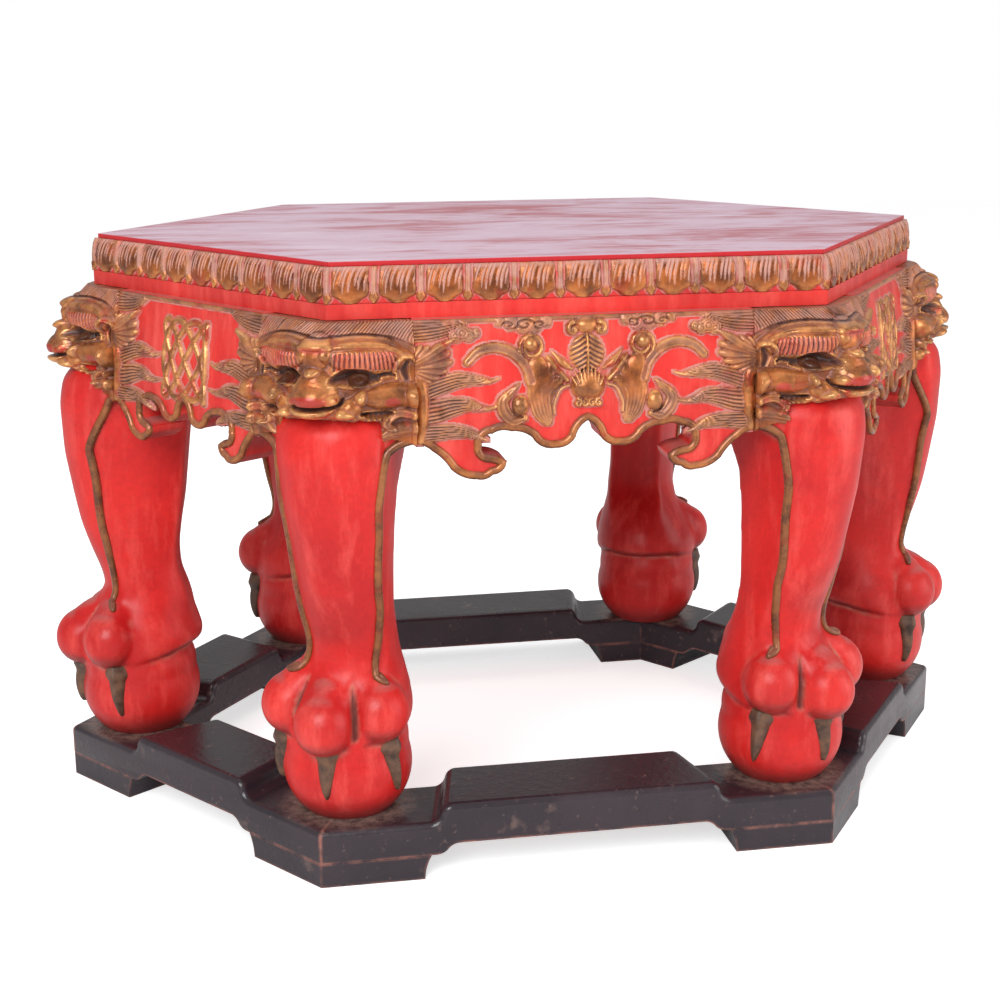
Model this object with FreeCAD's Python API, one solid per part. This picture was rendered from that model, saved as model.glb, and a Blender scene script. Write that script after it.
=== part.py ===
import FreeCAD, Part
import math
import os

# Six-sided lacquer table: a framed top, petal mouldings, waist boards, carved aprons,
# six cabriole legs with lion masks and clawed feet on balls, and a base ring on foot blocks.
# Lengths are in millimetres. The origin is on the floor under the middle of the table,
# +X runs along the long sides, +Y to the back and +Z up.

V = FreeCAD.Vector

# Overall height and plan. Each plan is a long hexagon: its left and right ends are points.
table_height = 520.0
top_half_front = 203.2
top_half_depth = 268.8
top_half_width = 387.0
base_half_front = 225.1
base_half_depth = 290.1
base_half_width = 438.6

# Clearance of hidden joints, overrun of cutting shapes, and reach of the mitre planes past the plan.
fit_gap = 0.3
cut_over = 10.0
mitre_reach = 130.0

# Top frame: rails with a thin lip, boards in a groove, and battens under the boards.
lip_height = 4.0
rail_width = 62.0
rail_setback = 9.0
board_thickness = 14.0
board_count = 5
board_tongue_thickness = 6.0
board_tongue_length = 8.0
board_tongue_drop = 6.0
batten_half_width = 20.0
batten_thickness = 12.0
batten_offset = 120.0
batten_tenon_half_width = 14.0
batten_tenon_length = 10.0
batten_tenon_thickness = 6.0

# Petal moulding under the lip.
petal_height = 29.0
petal_bulge = 8.5
petal_bulge_height = 11.6
petal_top_setout = 1.0
petal_count_long = 11
petal_count_slanted = 9
petal_groove_half_width = 3.0
petal_groove_depth = 5.0

# Plain waist board between the petals and the aprons.
band_height = 12.0
band_setout = 4.5
band_thickness = 26.5
band_tongue_thickness = 6.0
band_tongue_height = 6.0
band_tongue_inset = 3.0

# Aprons and the leg wings beside them share one curved section.
apron_depth = 128.0
apron_top_setout = 12.5
apron_foot_setout = 24.5
apron_belly = 3.0
apron_back_inset = 8.0
middle_leg_wing = 64.0
end_leg_wing = 54.0
wing_shoulder_depth = 97.0
wing_spandrel_drop = 34.0
wing_spandrel_half_width = 31.0
wing_spandrel_bulge_share = 0.156
apron_tenon_length = 24.0
apron_tenon_thickness = 8.0
apron_tenon_height = 40.0
apron_tenon_depth = 50.0

# Lower edge of an apron from its middle to a leg, as shares of the apron's half length and of
# its full depth, with the bulge of the arc that leads to each point as a share of its chord.
apron_edge_shares = (
    (0.000, 0.656, 0.00),
    (0.075, 0.760, 0.12),
    (0.190, 0.822, -0.14),
    (0.325, 0.750, -0.16),
    (0.450, 0.705, 0.10),
    (0.560, 0.715, 0.12),
    (0.625, 0.790, 0.26),
    (0.590, 0.850, 0.22),
    (0.480, 0.893, -0.08),
    (0.560, 0.975, -0.20),
    (0.650, 1.000, -0.14),
    (0.800, 0.930, -0.10),
    (0.905, 0.810, 0.06),
    (1.000, 0.758, 0.08),
)

# Leg core, from the mask down to the palm. Each row has the share of the height between the
# apron top and the ring top, the outward reach, the inward reach and the half width.
# Reaches are measured along the corner's bisector from a line that joins the waist corner
# to the ring corner.
leg_stations = (
    {"height_share": 1.000, "outer": 18.0, "inner": 62.0, "half_width": 46.0},
    {"height_share": 0.940, "outer": 26.0, "inner": 70.0, "half_width": 52.0},
    {"height_share": 0.854, "outer": 31.0, "inner": 80.0, "half_width": 54.0},
    {"height_share": 0.748, "outer": 24.0, "inner": 90.0, "half_width": 46.0},
    {"height_share": 0.638, "outer": 21.0, "inner": 90.0, "half_width": 39.0},
    {"height_share": 0.525, "outer": 11.0, "inner": 91.0, "half_width": 35.0},
    {"height_share": 0.409, "outer": -4.0, "inner": 96.0, "half_width": 36.0},
    {"height_share": 0.315, "outer": -18.0, "inner": 108.0, "half_width": 38.0},
    {"height_share": 0.230, "outer": -16.0, "inner": 114.0, "half_width": 42.0},
)
leg_front_setback_share = 0.56
leg_back_half_width_share = 0.62
leg_back_belly_share = 0.10

# Lion mask on the leg. Brows, cheeks and upper lip are pairs of long rounded masses. Each has
# its outward place from the reference line, its place beside the bisector, its depth below the
# apron top, its half length, its radius, and how far it swings back as a share of its length.
mask_pairs = (
    {"out": 16.0, "beside": 26.0, "below": 40.0, "half_length": 23.0, "radius": 11.0, "swing_share": 0.5},
    {"out": 5.0, "beside": 41.0, "below": 80.0, "half_length": 17.0, "radius": 15.0, "swing_share": 0.7},
    {"out": 21.0, "beside": 17.0, "below": 86.0, "half_length": 22.0, "radius": 9.0, "swing_share": 0.4},
)
mask_nose = {"out": 24.0, "below": 66.0, "radius": 14.0}
mask_knob = {"out": 24.0, "below": 38.0, "radius": 10.0}

# Foot: a ball held by three toes and a heel, each toe with a claw, and the palm that rests on it.
ball_radius = 53.0
ball_inset = 68.0
ball_centre_height = 39.0
palm_height = 98.0
palm_radius = 44.0
toe_angle = 50.0
toe_reach = 45.0
toe_height = 93.5
toe_half_length = 37.0
toe_radius = 23.5
toe_lean_share = 0.45
heel_reach = 37.0
heel_half_length = 38.0
heel_radius = 27.0
heel_lean_share = 0.15
claw_top_radius = 8.0
claw_tip_radius = 2.5
claw_top_reach = 55.0
claw_tip_reach = 54.0
claw_top_height = 74.0
claw_tip_height = 16.0

# Square tenons of a leg, into the top frame and through the base ring.
leg_tenon_half = 14.0
leg_tenon_inset = 51.0
leg_tenon_height = 25.0
foot_tenon_half = 15.0
foot_tenon_foot_depth = 14.0

# Base ring: rails with a raised middle and an arched underside, on foot blocks.
foot_height = 21.6
ring_rail_height = 28.4
ring_rail_width = 82.0
ring_raise = 16.0
ring_raise_outer_margin = 111.0
ring_raise_inner_margin = 128.0
ring_arch_rise = 9.4
ring_arch_margin = 118.0
ring_step_length = 20.0
ring_round = 6.0
foot_arm = 94.0
foot_end_setback = 6.0

# Hidden keys and pegs.
key_half_width = 20.0
key_thickness = 6.0
top_key_near = 27.0
top_key_far = 50.0
top_key_drop = 11.0
base_key_near = 30.0
base_key_far = 50.0
base_key_drop = 11.0
peg_radius = 4.0
peg_corner_distance = 74.0
peg_rail_depth = 8.0
peg_foot_depth = 12.0

# Levels, worked out from the heights above.
lip_level = table_height - lip_height
petal_level = lip_level - petal_height
apron_level = petal_level - band_height
ring_top_level = foot_height + ring_rail_height
board_level = table_height - board_thickness
tongue_level = table_height - board_tongue_drop
leg_span = apron_level - ring_top_level

# Corners, and the sides that run on from them.
LEFT, FRONT_LEFT, FRONT_RIGHT = range(3)


class Frame:
    """Upright frame: one direction points away from the table, the other runs along its side."""

    def __init__(self, origin, out):
        self.origin = origin
        self.out = out
        self.along = V(-out.y, out.x, 0)

    def at(self, out, along, level):
        return self.origin + self.out * out + self.along * along + V(0, 0, level)


class Plan:
    """A long hexagon with its corners in order from the left end round the front."""

    def __init__(self, half_front, half_depth, half_width):
        slant = math.hypot(half_width - half_front, half_depth)
        self.normal_x = half_depth / slant
        self.normal_y = (half_width - half_front) / slant
        self.half_depth = half_depth
        self.reach = self.normal_x * half_width

    def corners(self, outset):
        """Corners of the hexagon with every side moved outward by outset."""
        depth = self.half_depth + outset
        width = (self.reach + outset) / self.normal_x
        front = (self.reach + outset - self.normal_y * depth) / self.normal_x
        return [V(-width, 0, 0), V(-front, -depth, 0), V(front, -depth, 0),
                V(width, 0, 0), V(front, depth, 0), V(-front, depth, 0)]

    def side(self, index):
        """Frame at the middle of the side from corner index to the next, and its half length."""
        corners = self.corners(0)
        first = corners[index]
        second = corners[(index + 1) % len(corners)]
        along = (second - first).normalize()
        return Frame((first + second) / 2, V(along.y, -along.x, 0)), (second - first).Length / 2

    def corner(self, index):
        """Frame at a corner, looking outward along its bisector."""
        before = self.side(index - 1)[0].out
        after = self.side(index)[0].out
        return Frame(self.corners(0)[index], (before + after).normalize())

    def prism(self, outset, low, high):
        """Upright prism over the plan."""
        points = [point + V(0, 0, low) for point in self.corners(outset)]
        return Part.Face(Part.makePolygon(points + points[:1])).extrude(V(0, 0, high - low))

    def wedge(self, index):
        """Upright prism over one side's share of the plan, between its two corner bisectors."""
        outer = self.corners(mitre_reach)
        inner = self.corners(-mitre_reach)
        following = (index + 1) % len(outer)
        points = [outer[index], outer[following], inner[following], inner[index], outer[index]]
        wire = Part.makePolygon([point - V(0, 0, cut_over) for point in points])
        return Part.Face(wire).extrude(V(0, 0, table_height + cut_over + cut_over))


top_plan = Plan(top_half_front, top_half_depth, top_half_width)
base_plan = Plan(base_half_front, base_half_depth, base_half_width)


def closed_face(place, start, steps):
    """Flat face. Each step is an end point, or a point passed on the way and an end point."""
    edges = []
    here = start
    for step in steps + [(start,)]:
        end = step[-1]
        if len(step) > 1:
            edges.append(Part.Arc(place(here), place(step[0]), place(end)).toShape())
        elif end != here:
            edges.append(Part.LineSegment(place(here), place(end)).toShape())
        here = end
    return Part.Face(Part.Wire(edges))


def bulged(start, end, bulge_share):
    """Arc step from start to end that stands off its chord by a share of the chord."""
    across = end[0] - start[0]
    up = end[1] - start[1]
    half_way = ((start[0] + end[0]) / 2, (start[1] + end[1]) / 2)
    middle = (half_way[0] - up * bulge_share, half_way[1] + across * bulge_share)
    return (middle, end) if bulge_share else (end,)


def ogee(start, end):
    """Two equal arcs that leave start and reach end level."""
    run = end[0] - start[0]
    rise = end[1] - start[1]
    radius = (run * run + rise * rise) / (4 * abs(rise))
    sweep = math.asin(abs(run) / 2 / radius) / 2
    across = math.copysign(radius * math.sin(sweep), run)
    up = math.copysign(radius * (1 - math.cos(sweep)), rise)
    middle = ((start[0] + end[0]) / 2, (start[1] + end[1]) / 2)
    return [((start[0] + across, start[1] + up), middle), ((end[0] - across, end[1] - up), end)]


def box_in(frame, out_range, along_range, level_range):
    """Box between the given limits in a frame."""
    low = frame.at(out_range[0], along_range[0], level_range[0])
    corners = [low, frame.at(out_range[1], along_range[0], level_range[0]),
               frame.at(out_range[1], along_range[1], level_range[0]),
               frame.at(out_range[0], along_range[1], level_range[0]), low]
    return Part.Face(Part.makePolygon(corners)).extrude(V(0, 0, level_range[1] - level_range[0]))


def mitred_bar(plan, index, start, steps):
    """Bar along one side of a plan, with a section in outset and level, mitred at both ends."""
    frame, half_length = plan.side(index)
    far = half_length + mitre_reach
    section = closed_face(lambda point: frame.at(point[0], -far, point[1]), start, steps)
    return section.extrude(frame.along * (far + far)).common(plan.wedge(index))


def fused(shapes):
    """One solid from overlapping or touching shapes."""
    return shapes[0].multiFuse(shapes[1:]).removeSplitter()


def mirrored(shape, to_right, to_back):
    """Copy of a shape on the other side of the table."""
    if to_right:
        shape = shape.mirror(V(0, 0, 0), V(1, 0, 0))
    if to_back:
        shape = shape.mirror(V(0, 0, 0), V(0, 1, 0))
    return shape


def save(shape, name):
    """Write a node and say what it is."""
    solids = shape.Solids
    volume = round(sum(solid.Volume for solid in solids))
    print(name, len(solids), "valid" if shape.isValid() else "NOT VALID", volume)
    kept = solids[0] if len(solids) == 1 else Part.makeCompound(solids)
    kept.exportStep("parts/" + name + ".step")


# Sizes and places of the hidden joints

def leg_tenon(gap):
    """Square tenons on top of the legs: the left, front left and front right ones."""
    tenons = []
    for index in (LEFT, FRONT_LEFT, FRONT_RIGHT):
        half = leg_tenon_half + gap
        tenons.append(box_in(top_plan.corner(index), (-leg_tenon_inset - half, half - leg_tenon_inset),
                             (-half, half), (apron_level, apron_level + leg_tenon_height + gap)))
    return tenons


def foot_tenon(gap):
    """Square tenons under the balls, through the ring and into the foot blocks."""
    tenons = []
    for index in (LEFT, FRONT_LEFT, FRONT_RIGHT):
        half = foot_tenon_half + gap
        low = foot_height - foot_tenon_foot_depth - gap
        tenons.append(box_in(base_plan.corner(index), (-ball_inset - half, half - ball_inset),
                             (-half, half), (low, ring_top_level)))
    return tenons


def mitre_key(plan, near, far, high, gap):
    """Loose keys across the mitres at the left, front left and front right corners."""
    half = key_half_width + gap
    levels = (high - key_thickness - gap, high + gap)
    return [box_in(plan.corner(index), (-far - gap, gap - near), (-half, half), levels)
            for index in (LEFT, FRONT_LEFT, FRONT_RIGHT)]


def top_key(gap):
    return mitre_key(top_plan, top_key_near, top_key_far, table_height - top_key_drop, gap)


def base_key(gap):
    return mitre_key(base_plan, base_key_near, base_key_far, ring_top_level - base_key_drop, gap)


def seams(index):
    """Places of the two seams of an apron along its side of the top plan."""
    half_length = top_plan.side(index)[1]
    first_wing = end_leg_wing if index == LEFT else middle_leg_wing
    return first_wing - half_length, half_length - middle_leg_wing


def apron_tenon(index, gap):
    """Loose tenons across the two seams of an apron."""
    frame = top_plan.side(index)[0]
    thick = apron_tenon_thickness / 2 + gap
    high = apron_level - apron_tenon_depth + gap
    low = apron_level - apron_tenon_depth - apron_tenon_height - gap
    length = apron_tenon_length / 2 + gap
    return [box_in(frame, (-thick, thick), (seam - length, seam + length), (low, high))
            for seam in seams(index)]


def foot_pegs(index, extra):
    """Round pegs from the foot blocks up into one base rail."""
    frame, half_length = base_plan.side(index)
    place = half_length - peg_corner_distance
    low = foot_height - peg_foot_depth - extra
    height = peg_foot_depth + peg_rail_depth + extra + extra
    return [Part.makeCylinder(peg_radius + extra, height, frame.at(-ring_rail_width / 2, along, low))
            for along in (-place, place)]


# Top frame

def top_rail(index):
    groove_low = tongue_level - board_tongue_thickness - fit_gap
    groove_deep = board_tongue_length + fit_gap - rail_width
    tongue_in = band_setout - band_thickness + band_tongue_inset - fit_gap
    tongue_out = tongue_in + band_tongue_thickness + fit_gap + fit_gap
    tongue_top = petal_level + band_tongue_height + fit_gap
    rail = mitred_bar(top_plan, index, (-rail_width, petal_level), [
        ((tongue_in, petal_level),), ((tongue_in, tongue_top),), ((tongue_out, tongue_top),),
        ((tongue_out, petal_level),), ((-rail_setback, petal_level),), ((-rail_setback, lip_level),),
        ((0, lip_level),), ((0, table_height),), ((-rail_width, table_height),),
        ((-rail_width, tongue_level + fit_gap),), ((groove_deep, tongue_level + fit_gap),),
        ((groove_deep, groove_low),), ((-rail_width, groove_low),)])
    tools = leg_tenon(fit_gap) + top_key(fit_gap)
    if index == FRONT_LEFT:
        tools += batten_tenons(fit_gap)
    return rail.cut(tools)


def batten_tenons(gap):
    """Tenons at the front ends of the two battens."""
    frame = top_plan.side(FRONT_LEFT)[0]
    half = batten_tenon_half_width + gap
    high = board_level - (batten_thickness - batten_tenon_thickness) / 2 + gap
    low = high - batten_tenon_thickness - gap - gap
    return [box_in(frame, (-rail_width - cut_over, batten_tenon_length + gap - rail_width),
                   (place - half, place + half), (low, high)) for place in (-batten_offset, batten_offset)]


def top_batten():
    """Left batten, from the front rail to the back rail."""
    inner = top_half_depth - rail_width
    frame = Frame(V(-batten_offset, 0, 0), V(0, -1, 0))
    body = box_in(frame, (-inner, inner), (-batten_half_width, batten_half_width),
                  (board_level - batten_thickness, board_level))
    front = batten_tenons(0)[0]
    return fused([body, front, mirrored(front, False, True)])


def top_board(number):
    """One board of the top field, with a tongue in the rails' groove."""
    inner = top_half_depth - rail_width
    width = (inner + inner) / board_count
    low = -inner + width * number
    reach_back = board_tongue_length if number == board_count - 1 else 0
    reach_front = board_tongue_length if number == 0 else 0
    frame = Frame(V(0, 0, 0), V(0, -1, 0))
    strip = box_in(frame, (-low - width - reach_back, reach_front - low), (-top_half_width, top_half_width),
                   (0, table_height + cut_over))
    body = top_plan.prism(-rail_width, board_level, table_height)
    tongue_outset = board_tongue_length - rail_width
    tongue = top_plan.prism(tongue_outset, tongue_level - board_tongue_thickness, tongue_level)
    return fused([body.common(strip), tongue.common(strip)])


def petal_moulding(index):
    """Gilt moulding under the lip, with a groove between each petal and the next."""
    start = (-rail_setback, petal_level)
    low = (band_setout, petal_level)
    belly = (petal_bulge, petal_level + petal_bulge_height)
    high = (petal_top_setout, lip_level)
    steps = [(low,), (belly, high), ((-rail_setback, lip_level),)]
    bar = mitred_bar(top_plan, index, start, steps)
    frame, half_length = top_plan.side(index)
    count = petal_count_long if index == FRONT_LEFT else petal_count_slanted
    pitch = (half_length + half_length) / count
    cutters = []
    for number in range(1, count):
        place = pitch * number - half_length
        points = [frame.at(petal_bulge - petal_groove_depth, place, petal_level - cut_over),
                  frame.at(petal_bulge, place - petal_groove_half_width, petal_level - cut_over),
                  frame.at(petal_bulge + cut_over, place, petal_level - cut_over),
                  frame.at(petal_bulge, place + petal_groove_half_width, petal_level - cut_over)]
        face = Part.Face(Part.makePolygon(points + points[:1]))
        cutters.append(face.extrude(V(0, 0, petal_height + cut_over + cut_over)))
    return bar.cut(cutters)


def waist_board(index):
    """Plain band with a tongue up into the top rail."""
    back = band_setout - band_thickness
    tongue_in = back + band_tongue_inset
    tongue_out = tongue_in + band_tongue_thickness
    tongue_top = petal_level + band_tongue_height
    return mitred_bar(top_plan, index, (back, apron_level), [
        ((band_setout, apron_level),), ((band_setout, petal_level),), ((tongue_out, petal_level),),
        ((tongue_out, tongue_top),), ((tongue_in, tongue_top),), ((tongue_in, petal_level),),
        ((back, petal_level),)])


# Aprons and legs

def apron_blank(index):
    """Bar with the bulging section that the aprons and the leg wings share."""
    foot = apron_level - apron_depth - cut_over
    top = (apron_top_setout, apron_level)
    belly = ((apron_top_setout + apron_foot_setout) / 2 + apron_belly, apron_level - apron_depth / 2)
    low = (apron_foot_setout, foot)
    steps = [(low,), (belly, top), ((-apron_back_inset, apron_level),)]
    return mitred_bar(top_plan, index, (-apron_back_inset, foot), steps)


def side_panel(index, start, steps):
    """Upright slab on one side of the top plan, with an outline in place along the side and level."""
    frame = top_plan.side(index)[0]
    back = -apron_back_inset - cut_over
    front = apron_foot_setout + cut_over
    face = closed_face(lambda point: frame.at(back, point[0], point[1]), start, steps)
    return face.extrude(frame.out * (front - back))


def apron(index):
    first, second = seams(index)
    middle = (first + second) / 2
    half = (second - first) / 2
    right = []
    left = []
    bulges = []
    for share, drop, bulge in apron_edge_shares:
        level = apron_level - apron_depth * drop
        right.append((middle + half * share, level))
        left.append((middle - half * share, level))
        bulges.append(bulge)
    steps = []
    for number in range(len(right) - 1, 0, -1):
        steps.append(bulged(right[number], right[number - 1], -bulges[number]))
    for number in range(1, len(left)):
        steps.append(bulged(left[number - 1], left[number], -bulges[number]))
    steps.append(((first, apron_level),))
    steps.append(((second, apron_level),))
    panel = side_panel(index, right[-1], steps)
    return apron_blank(index).common(panel).cut(apron_tenon(index, fit_gap))


def wing(index, at_start):
    """Wing of a leg along one side, from the apron's seam to the corner."""
    half_length = top_plan.side(index)[1]
    seam = seams(index)[0 if at_start else 1]
    sign = -1 if at_start else 1
    shoulder = (seam, apron_level - wing_shoulder_depth)
    knee = (sign * (half_length - wing_spandrel_half_width), shoulder[1] - wing_spandrel_drop)
    far = sign * (half_length + mitre_reach)
    steps = [bulged(shoulder, knee, sign * wing_spandrel_bulge_share),
             ((far, knee[1]),), ((far, apron_level),), ((seam, apron_level),)]
    return apron_blank(index).common(side_panel(index, shoulder, steps))


def leg_reference(index, level):
    """Frame at a level on the line from the waist corner to the ring corner."""
    frame = top_plan.corner(index)
    waist = top_plan.corners(band_setout)[index]
    ring = base_plan.corners(0)[index]
    return Frame(waist + (ring - waist) * ((apron_level - level) / leg_span), frame.out)


def leg_section(index, station):
    """Closed outline of the leg's core at one level."""
    level = ring_top_level + leg_span * station["height_share"]
    frame = leg_reference(index, level)
    wide = station["half_width"]
    outer = station["outer"]
    inner = -station["inner"]
    shoulder = outer - wide * leg_front_setback_share
    back = wide * leg_back_half_width_share
    belly = inner - wide * leg_back_belly_share
    front_corners = [frame.at(shoulder, side, level) for side in (-wide, wide)]
    back_corners = [frame.at(inner, side, level) for side in (back, -back)]
    edges = [Part.Arc(front_corners[0], frame.at(outer, 0, level), front_corners[1]),
             Part.LineSegment(front_corners[1], back_corners[0]),
             Part.Arc(back_corners[0], frame.at(belly, 0, level), back_corners[1]),
             Part.LineSegment(back_corners[1], front_corners[0])]
    return Part.Wire([edge.toShape() for edge in edges])


def long_mass(centre, axis, half_length, radius):
    """Egg shape round an axis."""
    curve = Part.ArcOfEllipse(Part.Ellipse(V(0, 0, 0), half_length, radius), 0, math.pi).toShape()
    closing = Part.makeLine(V(-half_length, 0, 0), V(half_length, 0, 0))
    egg = Part.Face(Part.Wire([curve, closing])).revolve(V(0, 0, 0), V(1, 0, 0), 360)
    egg.Placement = FreeCAD.Placement(centre, FreeCAD.Rotation(V(1, 0, 0), axis))
    return egg


def mask(index):
    """Main masses of the lion mask: brows, cheeks and upper lip in pairs, nose and forehead knob."""
    masses = []
    for mass in mask_pairs:
        level = apron_level - mass["below"]
        frame = leg_reference(index, level)
        for sign in (-1, 1):
            axis = frame.along * sign - frame.out * mass["swing_share"]
            centre = frame.at(mass["out"], sign * mass["beside"], level)
            masses.append(long_mass(centre, axis, mass["half_length"], mass["radius"]))
    for mass in (mask_nose, mask_knob):
        level = apron_level - mass["below"]
        centre = leg_reference(index, level).at(mass["out"], 0, level)
        masses.append(Part.makeSphere(mass["radius"], centre))
    return masses


def foot(index):
    """Ball with a flat seat on the ring, palm, three toes with claws and a heel."""
    corner = base_plan.corner(index)
    centre = corner.at(-ball_inset, 0, 0)
    centre_level = ring_top_level + ball_centre_height
    ball = Part.makeSphere(ball_radius, centre + V(0, 0, centre_level))
    below = box_in(corner, (-ball_inset - ball_radius, ball_radius), (-ball_radius, ball_radius),
                   (0, ring_top_level))
    palm = Part.makeSphere(palm_radius, centre + V(0, 0, ring_top_level + palm_height))
    shapes = [ball.cut(below), palm]
    for turn in (-toe_angle, 0, toe_angle):
        out = FreeCAD.Rotation(V(0, 0, 1), turn).multVec(corner.out)
        toe = Frame(centre, out)
        middle = toe.at(toe_reach, 0, ring_top_level + toe_height)
        axis = out * toe_lean_share - V(0, 0, 1)
        shapes.append(long_mass(middle, axis, toe_half_length, toe_radius))
        top = toe.at(claw_top_reach, 0, ring_top_level + claw_top_height)
        tip = toe.at(claw_tip_reach, 0, ring_top_level + claw_tip_height)
        shapes.append(Part.makeCone(claw_top_radius, claw_tip_radius, (tip - top).Length, top, tip - top))
    heel = Frame(centre, corner.out * -1)
    middle = heel.at(heel_reach, 0, ring_top_level + toe_height)
    axis = heel.out * heel_lean_share - V(0, 0, 1)
    shapes.append(long_mass(middle, axis, heel_half_length, heel_radius))
    return shapes


def leg(index):
    """Whole leg: wings, mask, shin, foot and both tenons."""
    core = Part.makeLoft([leg_section(index, station) for station in leg_stations], True, False)
    beside = [apron(LEFT)] + apron_tenon(LEFT, fit_gap)
    if index == LEFT:
        wings = [wing(LEFT, True), mirrored(wing(LEFT, True), False, True)]
        beside += [mirrored(shape, False, True) for shape in beside]
    else:
        wings = [wing(LEFT, False), wing(FRONT_LEFT, True)]
        beside += [apron(FRONT_LEFT)] + apron_tenon(FRONT_LEFT, fit_gap)
    number = 0 if index == LEFT else 1
    tenons = [leg_tenon(0)[number], foot_tenon(0)[number]]
    return fused([core] + wings + mask(index) + foot(index) + tenons).cut(beside)


# Base ring

def ring_rail_outline(index, margin):
    """Outline of a base rail seen from the side, as its start and its steps."""
    half_length = base_plan.side(index)[1]
    far = half_length + ring_rail_width
    raised = half_length - margin
    arch = half_length - ring_arch_margin
    low = foot_height
    arch_level = foot_height + ring_arch_rise
    raised_level = ring_top_level + ring_raise
    steps = [((-arch - ring_step_length, low),)]
    steps += ogee((-arch - ring_step_length, low), (-arch, arch_level))
    steps += [((arch, arch_level),)] + ogee((arch, arch_level), (arch + ring_step_length, low))
    steps += [((far, low),), ((far, ring_top_level),), ((raised + ring_step_length, ring_top_level),)]
    steps += ogee((raised + ring_step_length, ring_top_level), (raised, raised_level))
    steps += [((-raised, raised_level),)]
    steps += ogee((-raised, raised_level), (-raised - ring_step_length, ring_top_level))
    steps += [((-far, ring_top_level),)]
    return (-far, low), steps


def base_rail(index):
    """Rail of the ring, lofted from its outer face to its inner face so that the raised ends run askew."""
    frame = base_plan.side(index)[0]
    wires = []
    for outset, margin in ((0, ring_raise_outer_margin), (-ring_rail_width, ring_raise_inner_margin)):
        start, steps = ring_rail_outline(index, margin)
        face = closed_face(lambda point, outset=outset: frame.at(outset, point[0], point[1]), start, steps)
        wires.append(face.OuterWire)
    rail = Part.makeLoft(wires, True, True)
    rail = rounded_outer_edges(rail, frame)
    tools = foot_tenon(fit_gap) + base_key(fit_gap) + foot_pegs(index, fit_gap)
    return rail.common(base_plan.wedge(index)).cut(tools)


def rounded_outer_edges(rail, frame):
    """Round the top edges of a rail's outer and inner faces."""
    edges = []
    for edge in rail.Edges:
        middle = edge.CenterOfMass - frame.origin
        outset = middle.dot(frame.out)
        on_face = abs(outset) < fit_gap or abs(outset + ring_rail_width) < fit_gap
        if on_face and middle.z > ring_top_level - fit_gap:
            edges.append(edge)
    return rail.makeFillet(ring_round, edges)


def foot_block(index):
    """V-shaped block under one corner of the ring: the arms along the two sides that meet there."""
    arms = [foot_arm_bar(LEFT, -1), foot_arm_bar(LEFT, 1), foot_arm_bar(FRONT_LEFT, -1)]
    if index == LEFT:
        pair = [arms[0], mirrored(arms[0], False, True)]
        pegs = foot_pegs(LEFT, fit_gap)
        tools = pegs + [mirrored(peg, False, True) for peg in pegs]
    else:
        pair = [arms[1], arms[2]]
        tools = foot_pegs(LEFT, fit_gap) + foot_pegs(FRONT_LEFT, fit_gap)
    return fused(pair).cut(tools + foot_tenon(fit_gap))


def foot_arm_bar(index, sign):
    """Arm of a foot block, from the corner at one end of a side."""
    frame, half_length = base_plan.side(index)
    far = sign * (half_length + ring_rail_width)
    top_end = (sign * (half_length - foot_arm), foot_height)
    low_end = (sign * (half_length - foot_arm + foot_end_setback), 0)
    slope = bulged(top_end, low_end, sign * foot_end_setback / foot_arm)
    steps = [slope, ((far, 0),), ((far, foot_height),)]
    face = closed_face(lambda point: frame.at(-ring_rail_width, point[0], point[1]), top_end, steps)
    return face.extrude(frame.out * ring_rail_width).common(base_plan.wedge(index))


# Names of the sides and corners: the first shape of a pair is made, the others are mirror copies
side_names = (
    ("front", FRONT_LEFT, False, False), ("back", FRONT_LEFT, False, True),
    ("front_left", LEFT, False, False), ("front_right", LEFT, True, False),
    ("back_left", LEFT, False, True), ("back_right", LEFT, True, True))
corner_names = (
    ("left", LEFT, False, False), ("right", LEFT, True, False),
    ("front_left", FRONT_LEFT, False, False), ("front_right", FRONT_LEFT, True, False),
    ("back_left", FRONT_LEFT, False, True), ("back_right", FRONT_LEFT, True, True))


def save_copies(kind, make, names):
    """Make each shape once and write its mirror copies round the table."""
    made = {}
    for name, index, to_right, to_back in names:
        if index not in made:
            made[index] = make(index)
        save(mirrored(made[index], to_right, to_back), kind + "_" + name)


def save_group(name, corner_shapes):
    """Write six loose pieces, from those at the left and front left corners, as one node."""
    made = {LEFT: corner_shapes[LEFT], FRONT_LEFT: corner_shapes[FRONT_LEFT]}
    pieces = [mirrored(made[index], to_right, to_back) for corner, index, to_right, to_back in corner_names]
    save(Part.makeCompound(pieces), name)


def all_sides(make):
    """Pieces that repeat on every side of the table."""
    pieces = []
    for name, index, to_right, to_back in side_names:
        pieces += [mirrored(shape, to_right, to_back) for shape in make(index)]
    return Part.makeCompound(pieces)


def main():
    os.makedirs("parts", exist_ok=True)
    save_copies("top_rail", top_rail, side_names)
    for number in range(board_count):
        save(top_board(number), "top_board_" + str(number + 1))
    batten = top_batten()
    save(batten, "top_batten_left")
    save(mirrored(batten, True, False), "top_batten_right")
    save_copies("petal_moulding", petal_moulding, side_names)
    save_copies("waist_board", waist_board, side_names)
    save_copies("apron", apron, side_names)
    save_copies("leg", leg, corner_names)
    save_copies("base_rail", base_rail, side_names)
    save_copies("foot_block", foot_block, corner_names)
    save_group("top_mitre_keys", top_key(0))
    save_group("base_mitre_keys", base_key(0))
    save(all_sides(lambda index: apron_tenon(index, 0)), "apron_tenons")
    save(all_sides(lambda index: foot_pegs(index, 0)), "foot_pegs")


main()
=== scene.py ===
import math

import bmesh
import bpy
import numpy as np
from bpy.props import FloatProperty, FloatVectorProperty, PointerProperty
from mathutils import Matrix, Vector
from mathutils.bvhtree import BVHTree


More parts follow.
